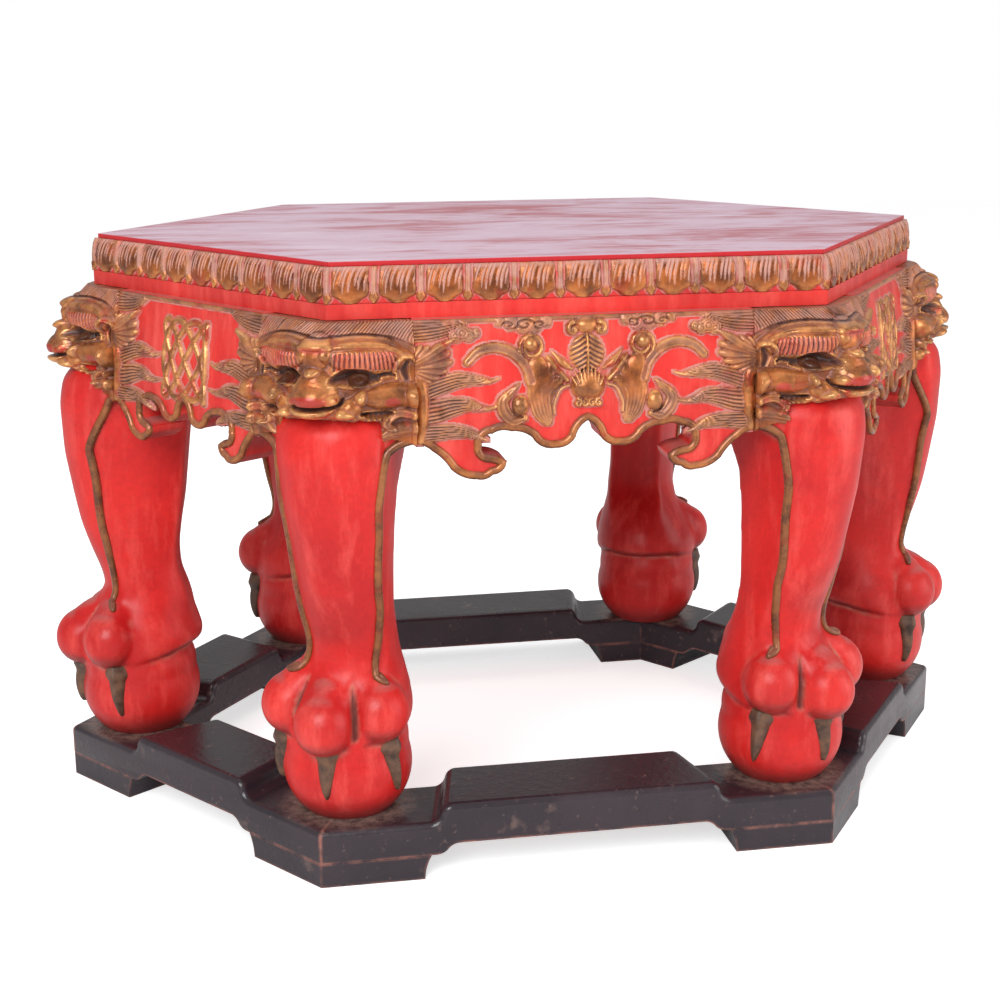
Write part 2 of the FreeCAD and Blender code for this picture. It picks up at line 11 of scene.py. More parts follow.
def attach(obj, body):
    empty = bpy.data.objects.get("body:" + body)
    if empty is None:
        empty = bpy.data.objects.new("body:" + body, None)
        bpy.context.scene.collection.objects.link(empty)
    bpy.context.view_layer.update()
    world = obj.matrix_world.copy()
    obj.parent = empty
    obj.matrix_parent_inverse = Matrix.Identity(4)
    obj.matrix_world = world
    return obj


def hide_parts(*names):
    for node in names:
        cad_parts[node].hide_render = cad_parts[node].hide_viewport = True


bl_info = {
    "name": "Lacquer Table",
    "version": (1, 0, 0),
    "blender": (4, 5, 0),
    "location": "View3D > Sidebar > Lacquer Table",
    "description": "Dresses a six-sided lacquer table: top, petals, aprons, masks, legs, feet and base ring",
    "category": "Add Mesh",
}

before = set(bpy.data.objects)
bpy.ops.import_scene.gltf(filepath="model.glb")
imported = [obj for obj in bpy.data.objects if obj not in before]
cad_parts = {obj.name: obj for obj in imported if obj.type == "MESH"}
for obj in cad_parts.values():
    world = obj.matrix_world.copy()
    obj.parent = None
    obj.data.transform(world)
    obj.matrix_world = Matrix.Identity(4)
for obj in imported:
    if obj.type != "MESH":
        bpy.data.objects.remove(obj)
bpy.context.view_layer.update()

MM = 0.001

# Plan corners and levels of the frame, in millimetres.
RIM = {"left": (-387.0, 0.0), "front_left": (-203.2, -268.8), "front_right": (203.2, -268.8)}
RING = {"left": (-438.6, 0.0), "front_left": (-225.1, -290.1), "front_right": (225.1, -290.1)}
LIP_LEVEL = 516.0
PETAL_LEVEL = 487.0
APRON_LEVEL = 475.0
RING_LEVEL = 50.0
WAIST_SETOUT = 4.5

# Points of the aprons' curved face, as outset from the rim and level.
APRON_FACE = ((12.5, 475.0), (21.5, 411.0), (24.5, 337.0))
APRON_BACK = -8.0
APRON_DEPTH = 128.0
EDGE_BEAD_INSET = 2.9
LONG_APRON_HALF = 139.2
SHORT_APRON_HALF = 103.8
SHORT_APRON_SHIFT = -5.0

# Lower edge of an apron from its middle to a leg: share of the half length, share of the depth,
# and the bulge of the arc that leads to the point.
APRON_EDGE = (
    (0.000, 0.656, 0.00), (0.075, 0.760, 0.12), (0.190, 0.822, -0.14), (0.325, 0.750, -0.16),
    (0.450, 0.705, 0.10), (0.560, 0.715, 0.12), (0.625, 0.790, 0.26), (0.590, 0.850, 0.22),
    (0.480, 0.893, -0.08), (0.560, 0.975, -0.20), (0.650, 1.000, -0.14), (0.800, 0.930, -0.10),
    (0.905, 0.810, 0.06), (1.000, 0.758, 0.08),
)

# Leg core: level, outward reach, inward reach and half width at each station.
LEG_STATIONS = np.array((
    (475.0, -2.0, 62.0, 40.0), (449.5, 2.0, 70.0, 44.0), (413.0, 5.0, 80.0, 44.0), (401.0, 14.0, 84.0, 44.0),
    (392.0, 24.0, 86.0, 46.0), (367.9, 26.0, 90.0, 45.0), (321.2, 19.5, 90.0, 40.0), (277.0, 8.0, 90.0, 36.0),
    (253.0, 1.0, 88.0, 35.0), (229.0, -9.0, 87.0, 34.5), (206.0, -20.0, 90.0, 35.5),
    (188.0, -25.0, 98.0, 38.0), (168.0, -28.0, 110.0, 44.0), (118.0, -28.0, 110.0, 44.0),
))
LEG_TOP = 474.0

# Section of the core: shares of its points at the front and on each flank, how far its front falls away
# at the sides and by what curve, the swell of its flanks, the width of its back as a share of the front's,
# what a square leg adds to that, and the swell of its back.
FRONT_POINTS = 0.42
FLANK_POINTS = 0.18
FRONT_FALL = 0.56
FRONT_CURVE = 2.3
FLANK_SWELL = 3.0
REAR_SHARE = 0.62
REAR_SQUARE = 0.18
REAR_SWELL = 0.12

# The legs at front and back are shallower and squarer behind than those at the ends: by how much they
# are, as 0 or 1, and the depth they lose at each level.
LEG_SQUARE = {"left": 0, "front_left": 1}
LEG_SHALLOWER = ((150, 200, 248, 294, 330, 380), (4, 8, 12, 18, 18, 0))

# Palm over the ball: level, radius round the ball's axis, and how far the leg's section has become round.
PALM = np.array((
    (118.0, 50.0, 1.0), (120.5, 54.0, 1.0), (125.0, 56.5, 1.0), (134.0, 57.5, 1.0), (146.0, 57.0, 1.0),
    (158.0, 54.0, 1.0), (168.0, 50.0, 0.85), (180.0, 46.0, 0.4), (192.0, 44.0, 0.0),
))
PALM_LEVEL = 118.0
PALM_DEEPER = 1.05
PALM_NARROWER = 0.96
PALM_DRIFT = ((150, 206), (1, 0))

# The palm's lower edge rises towards the heel: most rise, its spread round the palm and its fade by level.
HEEL_RISE = 15.0
HEEL_SPREAD = ((-0.2, 0.8), (0, 1))
HEEL_FADE = ((118, 150), (1, 0))

# Wings beside the core: how far the seam lies from the corner, where the core takes over, and the levels
# of the lower edge at the seam and at the core.
WING = {"left": 54.0, "front_left": 64.0}
WING_ROOT = 12.0
WING_SHOULDER = 378.0
WING_KNEE = 344.0
WING_KNEE_PLACE = 31.0

BALL_RADIUS = 53.0
BALL_INSET = 68.0
BALL_LEVEL = 89.0
BALL_SWELL = 2.5

# Egg inside the palm: its middle's level, its half length and its radius.
EGG_LEVEL = 112
EGG_HALF = 42
EGG_RADIUS = 53

# Toes: turn from the leg's line, reach from the ball's axis and level of the tip.
TOES = ((-57, 47, 147), (0, 52, 140), (57, 47, 147))
TOE_HALF = 27
TOE_RADIUS = 25.5
TOE_BACK = (20, 15)
TOE_BACK_HALF = 42
TOE_BACK_RADIUS = 24
WEB_PLACE = (26, 155)
WEB_HALF = 34
WEB_RADIUS = 22

# Slits between the toes: their turns, depth, least reach, and how far they open and narrow by level.
SLIT_TURNS = (-28.5, 28.5)
SLIT_DEPTH = 7.5
SLIT_START = 22
SLIT_BAND = ((120, 128, 156, 168, 178), (0, 1, 1, 0.6, 0))
SLIT_WIDTH = ((126, 150, 178), (4.4, 3.2, 2.6))

CLAW_TOP = 124.0
CLAW_TIP = 75.0
CLAW_TURNS = (-65, 2, 65)
CLAW_HALF = 9.5
CLAW_RISE = 6.5
CLAW_SPREAD = 5
CLAW_SINK = -3.0
COLLAR_PLACE = 0.2
COLLAR_WIDTH = 0.07

# Bead on a leg: its places on the wing and height above the wing's edge, its levels on the shin, how far
# it lies behind the front of the section and beside it, its share of the section's half width, how far it
# stands out of the skin, the curl at its end, and its thickness along its length.
BEAD_BENDS = (1, 0.8, 0.6, 0.4, 0.2)
BEAD_LIFT = 2.5
BEAD_LEVELS = np.concatenate((np.arange(334, 230, -16.0), np.arange(226, 170, -8.0)))
BEAD_BACK = ((170, 200, 235, 300, 328), (-3.0, -2.0, 1.0, 5.0, 4.0))
BEAD_SHARE = ((170, 200, 235, 290), (0.66, 0.78, 0.96, 1.0))
BEAD_FALL = 0.53
BEAD_ASIDE = 4
BEAD_PROUD = 0.6
BEAD_CURL = 6.4
BEAD_CURL_CLOSING = 0.009
BEAD_CURL_TURNS = np.arange(30, 520, 30.0)
BEAD_THICKNESS = ((0, 0.2, 0.45, 0.6, 1), (1.15, 1.15, 1.0, 0.75, 0.55))
BEAD_DARK = 0.42

# Masks: half width along the faces, rounding of the arris, least height, how the face swells by level,
# where the hair begins, and the lower outline of the face.
MASK_HALF = 73.0
MASK_ROUNDING = 40.0
MASK_LEAST = 3.5
MASK_SWELL = ((376, 392, 402, 412, 430, 450, 459, 467, 474.5),
              (0.30, 0.80, 0.95, 1.0, 1.0, 1.0, 0.90, 0.66, 0.36))
MASK_HAIRLINE = ((0, 30, 54, 73), (464.6, 466.2, 463.0, 455.4))
MASK_CHIN = ((0, 402.8), (12, 402.0), (20, 401.0), (26, 399.5), (30, 401.0), (34, 399.4), (45, 398.4),
             (47, 394.0), (41, 387.5), (37.5, 382.5), (44, 380.8), (54, 383.0), (64, 381.0), (73, 377.0))

# Flames that leave a mask, from its seam: centre line and half widths.
FLAMES = (
    (((-6, 418.5), (-20, 423), (-35, 426.8), (-50, 426.2), (-60, 425.2), (-68, 427.2)),
     (8.5, 7.6, 6.6, 4.0, 1.9, 0.3)),
    (((-6, 402), (-18, 403.5), (-29, 406), (-42, 407), (-55, 403.6), (-71, 405.2)),
     (10, 9.5, 8, 5.4, 2.5, 0.3)),
    (((-5, 385.5), (-18, 386), (-29, 386.6), (-42, 384.8), (-51, 380.8), (-58, 377.6)),
     (7.2, 6.8, 6.0, 4.4, 2.3, 0.3)),
)

# Woven knot of the short aprons.
KNOT_LEVEL = 425.0
KNOT_HALF_WIDTH = 30.0
KNOT_HALF_HEIGHT = 33.0
KNOT_SPANS = 240

# Reliefs: levels they reach over, size of a cell, height of an apron's bare ground, and how far each
# relief goes down behind.
APRON_RELIEF = (345, 474.5)
MASK_RELIEF = (376, 474.5)
APRON_CELL = 0.8
MASK_CELL = 0.65
PETAL_CELL = 0.6
APRON_GROUND = -1.5
APRON_RELIEF_BACK = -3.0
MASK_BACK = -4.0
PETAL_BACK = -20.0

# Carving colour of a mesh that has none: gilt, without dust, painted shade, or the crests with their painted
# highlight.
PLAIN_GILT = (1.0, 0.0, 0.0, 0.0)

# Petals on each kind of side, the turn of the mouldings' mitres, how far their backs lie behind the rim,
# and the pitch for which a petal is drawn.
PETALS = {"front": 11, "front_left": 9}
PETAL_MITRE = math.radians(28)
PETAL_BED = -8.5
PETAL_PITCH = 37

# A petal and the dart beside it by height above the tips: half widths, how the petal's body swells, and
# the cove of the moulding behind them as outset by share of its height.
PETAL_OUTLINE = ((0, 0.6, 1.8, 3.4, 4.6, 5.8, 7.2, 10, 16, 29),
                 (0.6, 4.4, 6.8, 8.4, 10.2, 12.8, 14.4, 15.0, 14.6, 14.2))
DART_OUTLINE = ((0, 1.4, 3.2, 5.2, 7.6, 11, 20, 29), (0.3, 1.8, 3.7, 4.3, 3.3, 2.2, 2.2, 2.6))
PETAL_BODY = ((0, 4, 10, 20, 29), (0.75, 1.0, 1.05, 0.9, 0.7))
PETAL_COVE = ((0, 0.25, 0.55, 0.85, 1.0), (3.4, 3.8, 3.6, 2.4, 0.6))

# Edges of the rails and blocks that turn by more than this are rounded.
HARD_EDGE = math.radians(25)
LIP_ROUNDING = 0.8

# Floor, and lamps: place, size and power. The key lamp's power is a setting.
FLOOR_HALF = 6.0
KEY_LAMP = ((-1.3, -2.6, 1.95), 1.6)
OTHER_LAMPS = {"fill": ((2.6, -1.5, 1.0), 2.2, 37.0), "above": ((0.2, 0.6, 2.6), 2.6, 22.0)}
LAMP_AIM = (0, 0, 0.25)
WORLD_LEVEL = 0.42

# Camera: place, turns round the upright, the crosswise and the viewing axis, and lens.
CAMERA_PLACE = (-0.3203, -1.6359, 0.6786)
CAMERA_TURNS = ((-10.47, "Z"), (-14.38, "X"), (0.27, "Y"))
CAMERA_SENSOR = 36.0
CAMERA_LENS = 63.14

# Sides and corners: name, the prototype it copies, and whether it is mirrored to the right or back.
SIDES = (
    ("front", "front", False, False), ("back", "front", False, True),
    ("front_left", "front_left", False, False), ("front_right", "front_left", True, False),
    ("back_left", "front_left", False, True), ("back_right", "front_left", True, True),
)
CORNERS = (
    ("left", "left", False, False), ("right", "left", True, False),
    ("front_left", "front_left", False, False), ("front_right", "front_left", True, False),
    ("back_left", "front_left", False, True), ("back_right", "front_left", True, True),
)


# Plan

class Side:
    """One side of a plan: places are given as outset, place along it from its middle, and level."""

    def __init__(self, first, second):
        first = np.array(first)
        second = np.array(second)
        self.middle = (first + second) / 2
        self.half = float(np.linalg.norm(second - first)) / 2
        self.along = (second - first) / (2 * self.half)
        self.out = np.array((self.along[1], -self.along[0]))

    def place(self, outset, along, level):
        """Points of space for places given along the side."""
        outset, along, level = np.broadcast_arrays(outset, along, level)
        flat = self.middle + outset[..., None] * self.out + along[..., None] * self.along
        return np.concatenate((flat, level[..., None]), axis=-1)


class Corner:
    """One corner of a plan, looking outward along its bisector."""

    def __init__(self, point, before, after):
        out = before.out + after.out
        self.point = np.array(point)
        self.out = out / np.linalg.norm(out)
        self.along = np.array((-self.out[1], self.out[0]))
        self.half_angle = math.pi / 2 - math.acos(float(self.out @ before.out))

    def place(self, out, beside, level):
        """Points of space for places given from the corner."""
        out, beside, level = np.broadcast_arrays(out, beside, level)
        flat = self.point + out[..., None] * self.out + beside[..., None] * self.along
        return np.concatenate((flat, level[..., None]), axis=-1)

    def turned(self, degrees):
        """Level direction that is turned away from the bisector."""
        angle = math.radians(degrees)
        return self.out * math.cos(angle) + self.along * math.sin(angle)


def plan_parts(points):
    """Sides and corners of the plan's left and front part, from which the others are mirrored."""
    back_left = (points["front_left"][0], -points["front_left"][1])
    sides = {
        "front": Side(points["front_left"], points["front_right"]),
        "front_left": Side(points["left"], points["front_left"]),
        "back_left": Side(back_left, points["left"]),
    }
    corners = {
        "left": Corner(points["left"], sides["back_left"], sides["front_left"]),
        "front_left": Corner(points["front_left"], sides["front_left"], sides["front"]),
    }
    return sides, corners


RIM_SIDES, RIM_CORNERS = plan_parts(RIM)
RING_CORNERS = plan_parts(RING)[1]


def circle_through(first, second, third):
    """Centre and radius of the circle through three points."""
    rows = np.array((np.subtract(second, first), np.subtract(third, first)), float) * 2
    sums = np.array([np.dot(p, p) - np.dot(first, first) for p in (second, third)])
    centre = np.linalg.solve(rows, sums)
    return centre, float(np.linalg.norm(np.subtract(first, centre)))


FACE_CENTRE, FACE_RADIUS = circle_through(*APRON_FACE)


def face_outset(level):
    """Outset of the aprons' curved face at a level."""
    return FACE_CENTRE[0] + np.sqrt(FACE_RADIUS ** 2 - (np.asarray(level) - FACE_CENTRE[1]) ** 2)


# Mesh helpers

def new_piece(name, mesh, material, slot, *replaced):
    """Object for a finished mesh that rides on the table."""
    piece = bpy.data.objects.new(name, mesh)
    bpy.context.scene.collection.objects.link(piece)
    mesh.materials.clear()
    mesh.materials.append(material)
    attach(piece, "root")
    if replaced:
        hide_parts(*replaced)
    return piece


def mirrored_mesh(mesh, to_right, to_back):
    """Copy of a mesh on the other side of the table, still facing outwards."""
    copy = mesh.copy()
    copy.transform(Matrix.Diagonal((-1 if to_right else 1, -1 if to_back else 1, 1, 1)))
    if to_right != to_back:
        copy.flip_normals()
    return copy


def copy_round(kind, prototypes, names, material, slot, replaced=None):
    """Places a prototype mesh, or its mirror copy, at each side or corner."""
    for name, prototype, to_right, to_back in names:
        mesh = mirrored_mesh(prototypes[prototype], to_right, to_back)
        mesh.name = kind + "_" + name
        nodes = (replaced + "_" + name,) if replaced else ()
        new_piece(kind + "_" + name, mesh, material, slot, *nodes)


def finished_mesh(bm, name, smooth=True):
    """Mesh made from a bmesh, which is freed."""
    mesh = bpy.data.meshes.new(name)
    bm.to_mesh(mesh)
    bm.free()
    if smooth:
        mesh.shade_smooth()
    return mesh


def spline(points, per_span=8):
    """Smooth line through the given points."""
    points = np.array(points, float)
    if len(points) < 3:
        share = np.linspace(0, 1, per_span + 1)[:, None]
        return points[0] * (1 - share) + points[-1] * share
    ends = np.concatenate((2 * points[:1] - points[1:2], points, 2 * points[-1:] - points[-2:-1]))
    line = []
    for number in range(len(points) - 1):
        a, b, c, d = ends[number:number + 4]
        for t in np.arange(per_span) / per_span:
            line.append(0.5 * (2 * b + (c - a) * t + (2 * a - 5 * b + 4 * c - d) * t * t
                               + (3 * b - a - 3 * c + d) * t ** 3))
    line.append(points[-1])
    return np.array(line)


def scroll_line(centre, radius, turns, start, sign=1, inner=0.15):
    """Spiral from its outer end to its heart."""
    share = np.linspace(0, 1, int(abs(turns) * 14) + 2)
    angle = math.radians(start) + sign * share * turns * 2 * math.pi
    reach = radius * (1 - share * (1 - inner))
    return np.stack((centre[0] + reach * np.cos(angle), centre[1] + reach * np.sin(angle)), -1)


def tube_mesh(name, lines, radius, dark):
    """Round bead along each line of points, given in millimetres."""
    data = bpy.data.curves.new(name, "CURVE")
    data.dimensions = "3D"
    data.bevel_depth = radius * MM
    data.bevel_resolution = 2
    data.use_fill_caps = True
    for line, radii in lines:
        run = data.splines.new("POLY")
        run.points.add(len(line) - 1)
        for point, place, share in zip(run.points, line, radii):
            point.co = (place[0] * MM, place[1] * MM, place[2] * MM, 1)
            point.radius = share
    holder = bpy.data.objects.new(name, data)
    bpy.context.scene.collection.objects.link(holder)
    graph = bpy.context.evaluated_depsgraph_get()
    mesh = bpy.data.meshes.new_from_object(holder.evaluated_get(graph))
    bpy.data.objects.remove(holder)
    bm = bmesh.new()
    bm.from_mesh(mesh)
    bmesh.ops.remove_doubles(bm, verts=bm.verts, dist=1e-6)
    bmesh.ops.holes_fill(bm, edges=[edge for edge in bm.edges if edge.is_boundary], sides=0)
    bmesh.ops.recalc_face_normals(bm, faces=bm.faces)
    tone = bm.verts.layers.float_color.new("carving")
    for vert in bm.verts:
        # Dust on upward faces. The given dark value plus painted shade on downward faces. A painted
        # highlight, as the crest value, on the sides between top and underside.
        up = vert.normal.z
        vert[tone] = (1.0, 0.45 * max(up, 0), dark + 0.5 * max(-up, 0), 0.3 * (1 - abs(up)))
    return finished_mesh(bm, name)


def joined(name, meshes):
    """One mesh from several. Those with no carving colour get that of plain gilt."""
    bm = bmesh.new()
    for mesh in meshes:
        if "carving" not in mesh.attributes:
            layer = mesh.attributes.new("carving", "FLOAT_COLOR", "POINT")
            layer.data.foreach_set("color", np.tile(np.array(PLAIN_GILT, np.float32), len(mesh.vertices)))
        bm.from_mesh(mesh)
    return finished_mesh(bm, name)


# Carving

class Carving:
    """Relief laid out flat: place along a panel, level, and height above the panel's face."""

    def __init__(self, along, level, step, ground):
        self.along = np.linspace(along[0], along[1], int(round((along[1] - along[0]) / step)) + 1)
        self.level = np.linspace(level[0], level[1], int(round((level[1] - level[0]) / step)) + 1)
        self.a, self.z = np.meshgrid(self.along, self.level, indexing="ij")
        self.height = np.full(self.a.shape, float(ground))
        # Darkness laid by the shapes: mostly painted shade in cuts and hollows, plus a few dark parts of the
        # carving's own colour.
        self.dark = np.zeros(self.a.shape)
        self.hair = np.zeros(self.a.shape)
        self.gilt = np.ones(self.a.shape)

    def window(self, low, high):
        """Cells of the relief between two opposite corners."""
        first = np.searchsorted(self.along, low[0]), np.searchsorted(self.level, low[1])
        last = np.searchsorted(self.along, high[0]), np.searchsorted(self.level, high[1])
        return slice(max(first[0] - 1, 0), last[0] + 1), slice(max(first[1] - 1, 0), last[1] + 1)

    def lay(self, part, inside, value, mode):
        """Adds a shape's height to the relief, keeps the higher of both, or cuts it away."""
        here = self.height[part]
        if mode == "add":
            here = here + np.where(inside, value, 0)
        elif mode == "cut":
            here = here - np.where(inside, value, 0)
        else:
            here = np.where(inside, np.maximum(here, value), here)
        self.height[part] = here

    def round_window(self, centre, reach):
        """Cells within a square round a centre."""
        low = centre[0] - reach, centre[1] - reach
        high = centre[0] + reach, centre[1] + reach
        return self.window(low, high)

    def dome(self, centre, radii, height, mode="max", turn=0.0, power=0.5):
        """Oval swelling or hollow."""
        part = self.round_window(centre, max(radii))
        a = self.a[part] - centre[0]
        z = self.z[part] - centre[1]
        cosine, sine = math.cos(math.radians(turn)), math.sin(math.radians(turn))
        far = ((a * cosine + z * sine) / radii[0]) ** 2 + ((z * cosine - a * sine) / radii[1]) ** 2
        swell = np.clip(1 - far, 0, 1) ** power
        self.lay(part, far < 1, height * swell, mode)

    def beside_line(self, line, reach):
        """Window round a line, with each place's share along it, its signed offset as a share of the
        line's half width there, and that half width."""
        most = reach.max()
        part = self.window(line.min(0) - most, line.max(0) + most)
        a, z = self.a[part], self.z[part]
        best = np.full(a.shape, np.inf)
        offset, share_along, wide = best.copy(), 0 * a, np.full(a.shape, most)
        for number in range(len(line) - 1):
            first, step = line[number], line[number + 1] - line[number]
            length = max(float(step @ step), 1e-9)
            share = np.clip(((a - first[0]) * step[0] + (z - first[1]) * step[1]) / length, 0, 1)
            off_a, off_z = a - first[0] - share * step[0], z - first[1] - share * step[1]
            here = reach[number] * (1 - share) + reach[number + 1] * share
            far = np.hypot(off_a, off_z) / here
            nearer = far < best
            best = np.where(nearer, far, best)
            offset = np.where(nearer, far * np.sign(step[0] * off_z - step[1] * off_a), offset)
            share_along = np.where(nearer, (number + share) / (len(line) - 1), share_along)
            wide = np.where(nearer, here, wide)
        return part, share_along, offset, wide

    def stroke(self, points, radii, height, mode="max", power=0.5, hair=0.0, dark=0.0, smooth=True):
        """Rounded ridge or groove along a line."""
        line = spline(points) if smooth else np.array(points, float)
        reach = half_widths(line, radii)
        part, _, offset, wide = self.beside_line(line, reach)
        best = np.abs(offset)
        swell = np.clip(1 - best ** 2, 0, 1) ** power
        value = height * swell * (wide / reach.max()) ** 0.5
        self.lay(part, best < 1, value, mode)
        if hair:
            self.hair[part] = np.maximum(self.hair[part], np.where(best < 1.3, hair, 0))
        elif mode == "max":
            self.hair[part] = np.where((best < 1) & (value >= self.height[part]), 0, self.hair[part])
        # The dark value paints shade along the line, for cuts and hollows.
        if dark:
            self.dark[part] = np.maximum(self.dark[part], dark * swell)

    def tuft(self, points, radii, height, ribs, depth, mode="max", hair=1.0, fade=0.0):
        """Lock of parallel strands along a line. They draw together where it narrows."""
        line = spline(points)
        reach = half_widths(line, radii)
        part, share, offset, wide = self.beside_line(line, reach)
        best = np.abs(offset)
        taper = np.clip(wide / (0.35 * reach.max()), 0, 1) ** 0.5
        body = height * np.clip(1 - best ** 2, 0, 1) ** 0.4 * taper
        strand = np.abs(np.cos(math.pi * ribs * (offset + 1) / 2))
        keep = np.clip(wide / (0.3 * reach.max()), 0, 1) * np.clip((share - fade) / max(fade, 0.01), 0, 1)
        self.lay(part, best < 1, body - depth * strand ** 3 * keep, mode)
        self.hair[part] = np.maximum(self.hair[part], np.where(best < 1, hair * keep, 0))

    def fan(self, centre, turns, reaches, height, ribs, depth):
        """Leaf with ribs that spread from a point, and a scalloped rim."""
        part = self.round_window(centre, max(reaches))
        a, z = self.a[part] - centre[0], self.z[part] - centre[1]
        turn = np.degrees(np.arctan2(z, a)) % 360
        reach = np.interp(turn, turns, reaches, left=0.01, right=0.01)
        wave = np.abs(np.sin(math.pi * ribs * (turn - turns[0]) / (turns[-1] - turns[0])))
        reach = reach * (0.92 + 0.08 * wave)
        share = np.hypot(a, z) / reach
        body = height * np.clip(1 - share ** 6, 0, 1) ** 0.5 * (0.75 + 0.25 * share)
        inside = (share < 1) & (turn > turns[0]) & (turn < turns[-1])
        keep = np.clip((share - 0.12) / 0.3, 0, 1)
        self.lay(part, inside, body - depth * (1 - wave) ** 2 * keep, "max")
        self.hair[part] = np.where(inside, 0.5 * keep, self.hair[part])

    def cloud(self, lobes, height, rings):
        """Lobed plaque with rings of lines that follow its outline."""
        most = max(lobe[2] for lobe in lobes)
        low = min(lobe[0] for lobe in lobes) - most, min(lobe[1] for lobe in lobes) - most
        high = max(lobe[0] for lobe in lobes) + most, max(lobe[1] for lobe in lobes) + most
        part = self.window(low, high)
        inner = np.full(self.a[part].shape, -1.0)
        for place, level, radius in lobes:
            far = np.hypot(self.a[part] - place, self.z[part] - level)
            inner = np.maximum(inner, (radius - far) / most)
        value = height * np.clip(inner * 5, 0, 1) ** 0.5 + 0.5 * height * inner
        value -= 1.1 * np.abs(np.cos(math.pi * rings * inner)) ** 4 * (inner > 0.1)
        self.lay(part, inner > 0, value, "max")
        self.hair[part] = np.maximum(self.hair[part], np.where(inner > 0, 0.9, 0))

    def mirror(self, mode="copy"):
        """Copies the right half to the left, or lays both halves over each other."""
        for field in ("height", "dark", "hair", "gilt"):
            values = getattr(self, field)
            flipped = values[::-1]
            if mode == "copy":
                values = np.where(self.a < 0, flipped, values)
            elif field != "gilt":
                values = np.maximum(values, flipped)
            setattr(self, field, values)

    def tones(self, cells, rise):
        """Colour layer: gilding, dust in the cuts, painted shade in the cuts and hollows, and crests that are
        rubbed and carry a painted highlight.
        """
        detail = (self.height - blurred(self.height, cells)) / rise
        broad = (self.height - blurred(self.height, 4 * cells + 2)) / (5 * rise)
        groove, hollow = np.clip(-detail, 0, 1), np.clip(-broad, 0, 1)
        # Dust lies in the cuts. On hair the pale tone lies on the ridges instead, as dust and as a painted
        # highlight.
        dust = 0.03 + 0.45 * groove * (1 - self.hair) + self.hair * (0.5 - 0.5 * groove) + 0.2 * hollow
        # Dark value: painted shade in the grooves, deepest between hair strands, and in the broad hollows.
        dark = np.maximum.reduce((self.dark, 0.95 * groove * self.hair, 0.3 * groove, 0.45 * hollow))
        # Crests: raised parts, where the gilding is rubbed and gets a painted highlight.
        crest_and_highlight = np.clip(np.maximum(detail * (1 - 0.5 * self.hair), 0.8 * broad), 0, 1)
        return np.stack((self.gilt, np.clip(dust, 0, 1), np.clip(dark, 0, 1), crest_and_highlight), -1)


def half_widths(line, radii):
    """Half width at each point of a line, from one radius or several spread along it."""
    radii = np.atleast_1d(np.array(radii, float))
    return np.interp(np.linspace(0, 1, len(line)), np.linspace(0, 1, len(radii)), radii)


def blurred(field, cells):
    """Mean over a square window of cells."""
    for axis in (0, 1):
        edge = [(0, 0), (0, 0)]
        edge[axis] = (cells + 1, cells)
        total = np.cumsum(np.pad(field, edge, mode="edge"), axis=axis)
        count = field.shape[axis]
        high = np.take(total, np.arange(count) + 2 * cells + 1, axis=axis)
        low = np.take(total, np.arange(count), axis=axis)
        field = (high - low) / (2 * cells + 1)
    return field


def widened(shown, cells):
    """Cells that lie within a few cells of the shown ones."""
    return blurred(shown.astype(float), cells) > 1e-9


def carved_mesh(name, carving, tones, shown, place, back, out):
    """Closed mesh over the shown cells of a relief. It goes down to the back height behind."""
    columns, rows = carving.height.shape
    bm = bmesh.new()
    bmesh.ops.create_grid(bm, x_segments=columns - 1, y_segments=rows - 1, size=0.5)
    grid = np.array([vert.co[:2] for vert in bm.verts])
    i = np.rint((grid[:, 0] + 0.5) * (columns - 1)).astype(int)
    j = np.rint((grid[:, 1] + 0.5) * (rows - 1)).astype(int)
    cell = shown[:-1, :-1] | shown[1:, :-1] | shown[:-1, 1:] | shown[1:, 1:]
    # Cells that touch at a corner alone get a neighbour, so that no edge has four faces
    for _ in range(6):
        first = cell[:-1, :-1] & cell[1:, 1:] & ~cell[1:, :-1] & ~cell[:-1, 1:]
        second = ~cell[:-1, :-1] & ~cell[1:, 1:] & cell[1:, :-1] & cell[:-1, 1:]
        if not first.any() and not second.any():
            break
        cell[1:, :-1] |= first
        cell[:-1, :-1] |= second
    unused = []
    for face in bm.faces:
        corner = min(i[vert.index] for vert in face.verts), min(j[vert.index] for vert in face.verts)
        if not cell[corner]:
            unused.append(face)
    front = place(carving.a[i, j], carving.z[i, j], carving.height[i, j]) * MM
    behind = place(carving.a[i, j], carving.z[i, j], np.full(len(i), float(back))) * MM
    colour = tones[i, j]
    layer = bm.verts.layers.float_color.new("carving")
    for vert, spot, tone in zip(bm.verts, front, colour):
        vert.co = spot
        vert[layer] = tone
    number = bm.verts.layers.int.new("number")
    for vert in bm.verts:
        vert[number] = vert.index
    bmesh.ops.delete(bm, geom=unused, context="FACES")
    edges = [edge for edge in bm.edges if edge.is_boundary]
    made = bmesh.ops.extrude_edge_only(bm, edges=edges)["geom"]
    low = [item for item in made if isinstance(item, bmesh.types.BMEdge) and item.is_boundary]
    for vert in {vert for edge in low for vert in edge.verts}:
        vert.co = behind[vert[number]]
    bmesh.ops.triangle_fill(bm, use_beauty=False, use_dissolve=False, edges=low, normal=Vector((*out, 0)))
    bm.verts.layers.int.remove(bm.verts.layers.int["number"])
    bmesh.ops.recalc_face_normals(bm, faces=bm.faces)
    return finished_mesh(bm, name)


def from_seam(seam, points):
    """Line whose places are counted from a seam."""
    return [(seam + place, level) for place, level in points]


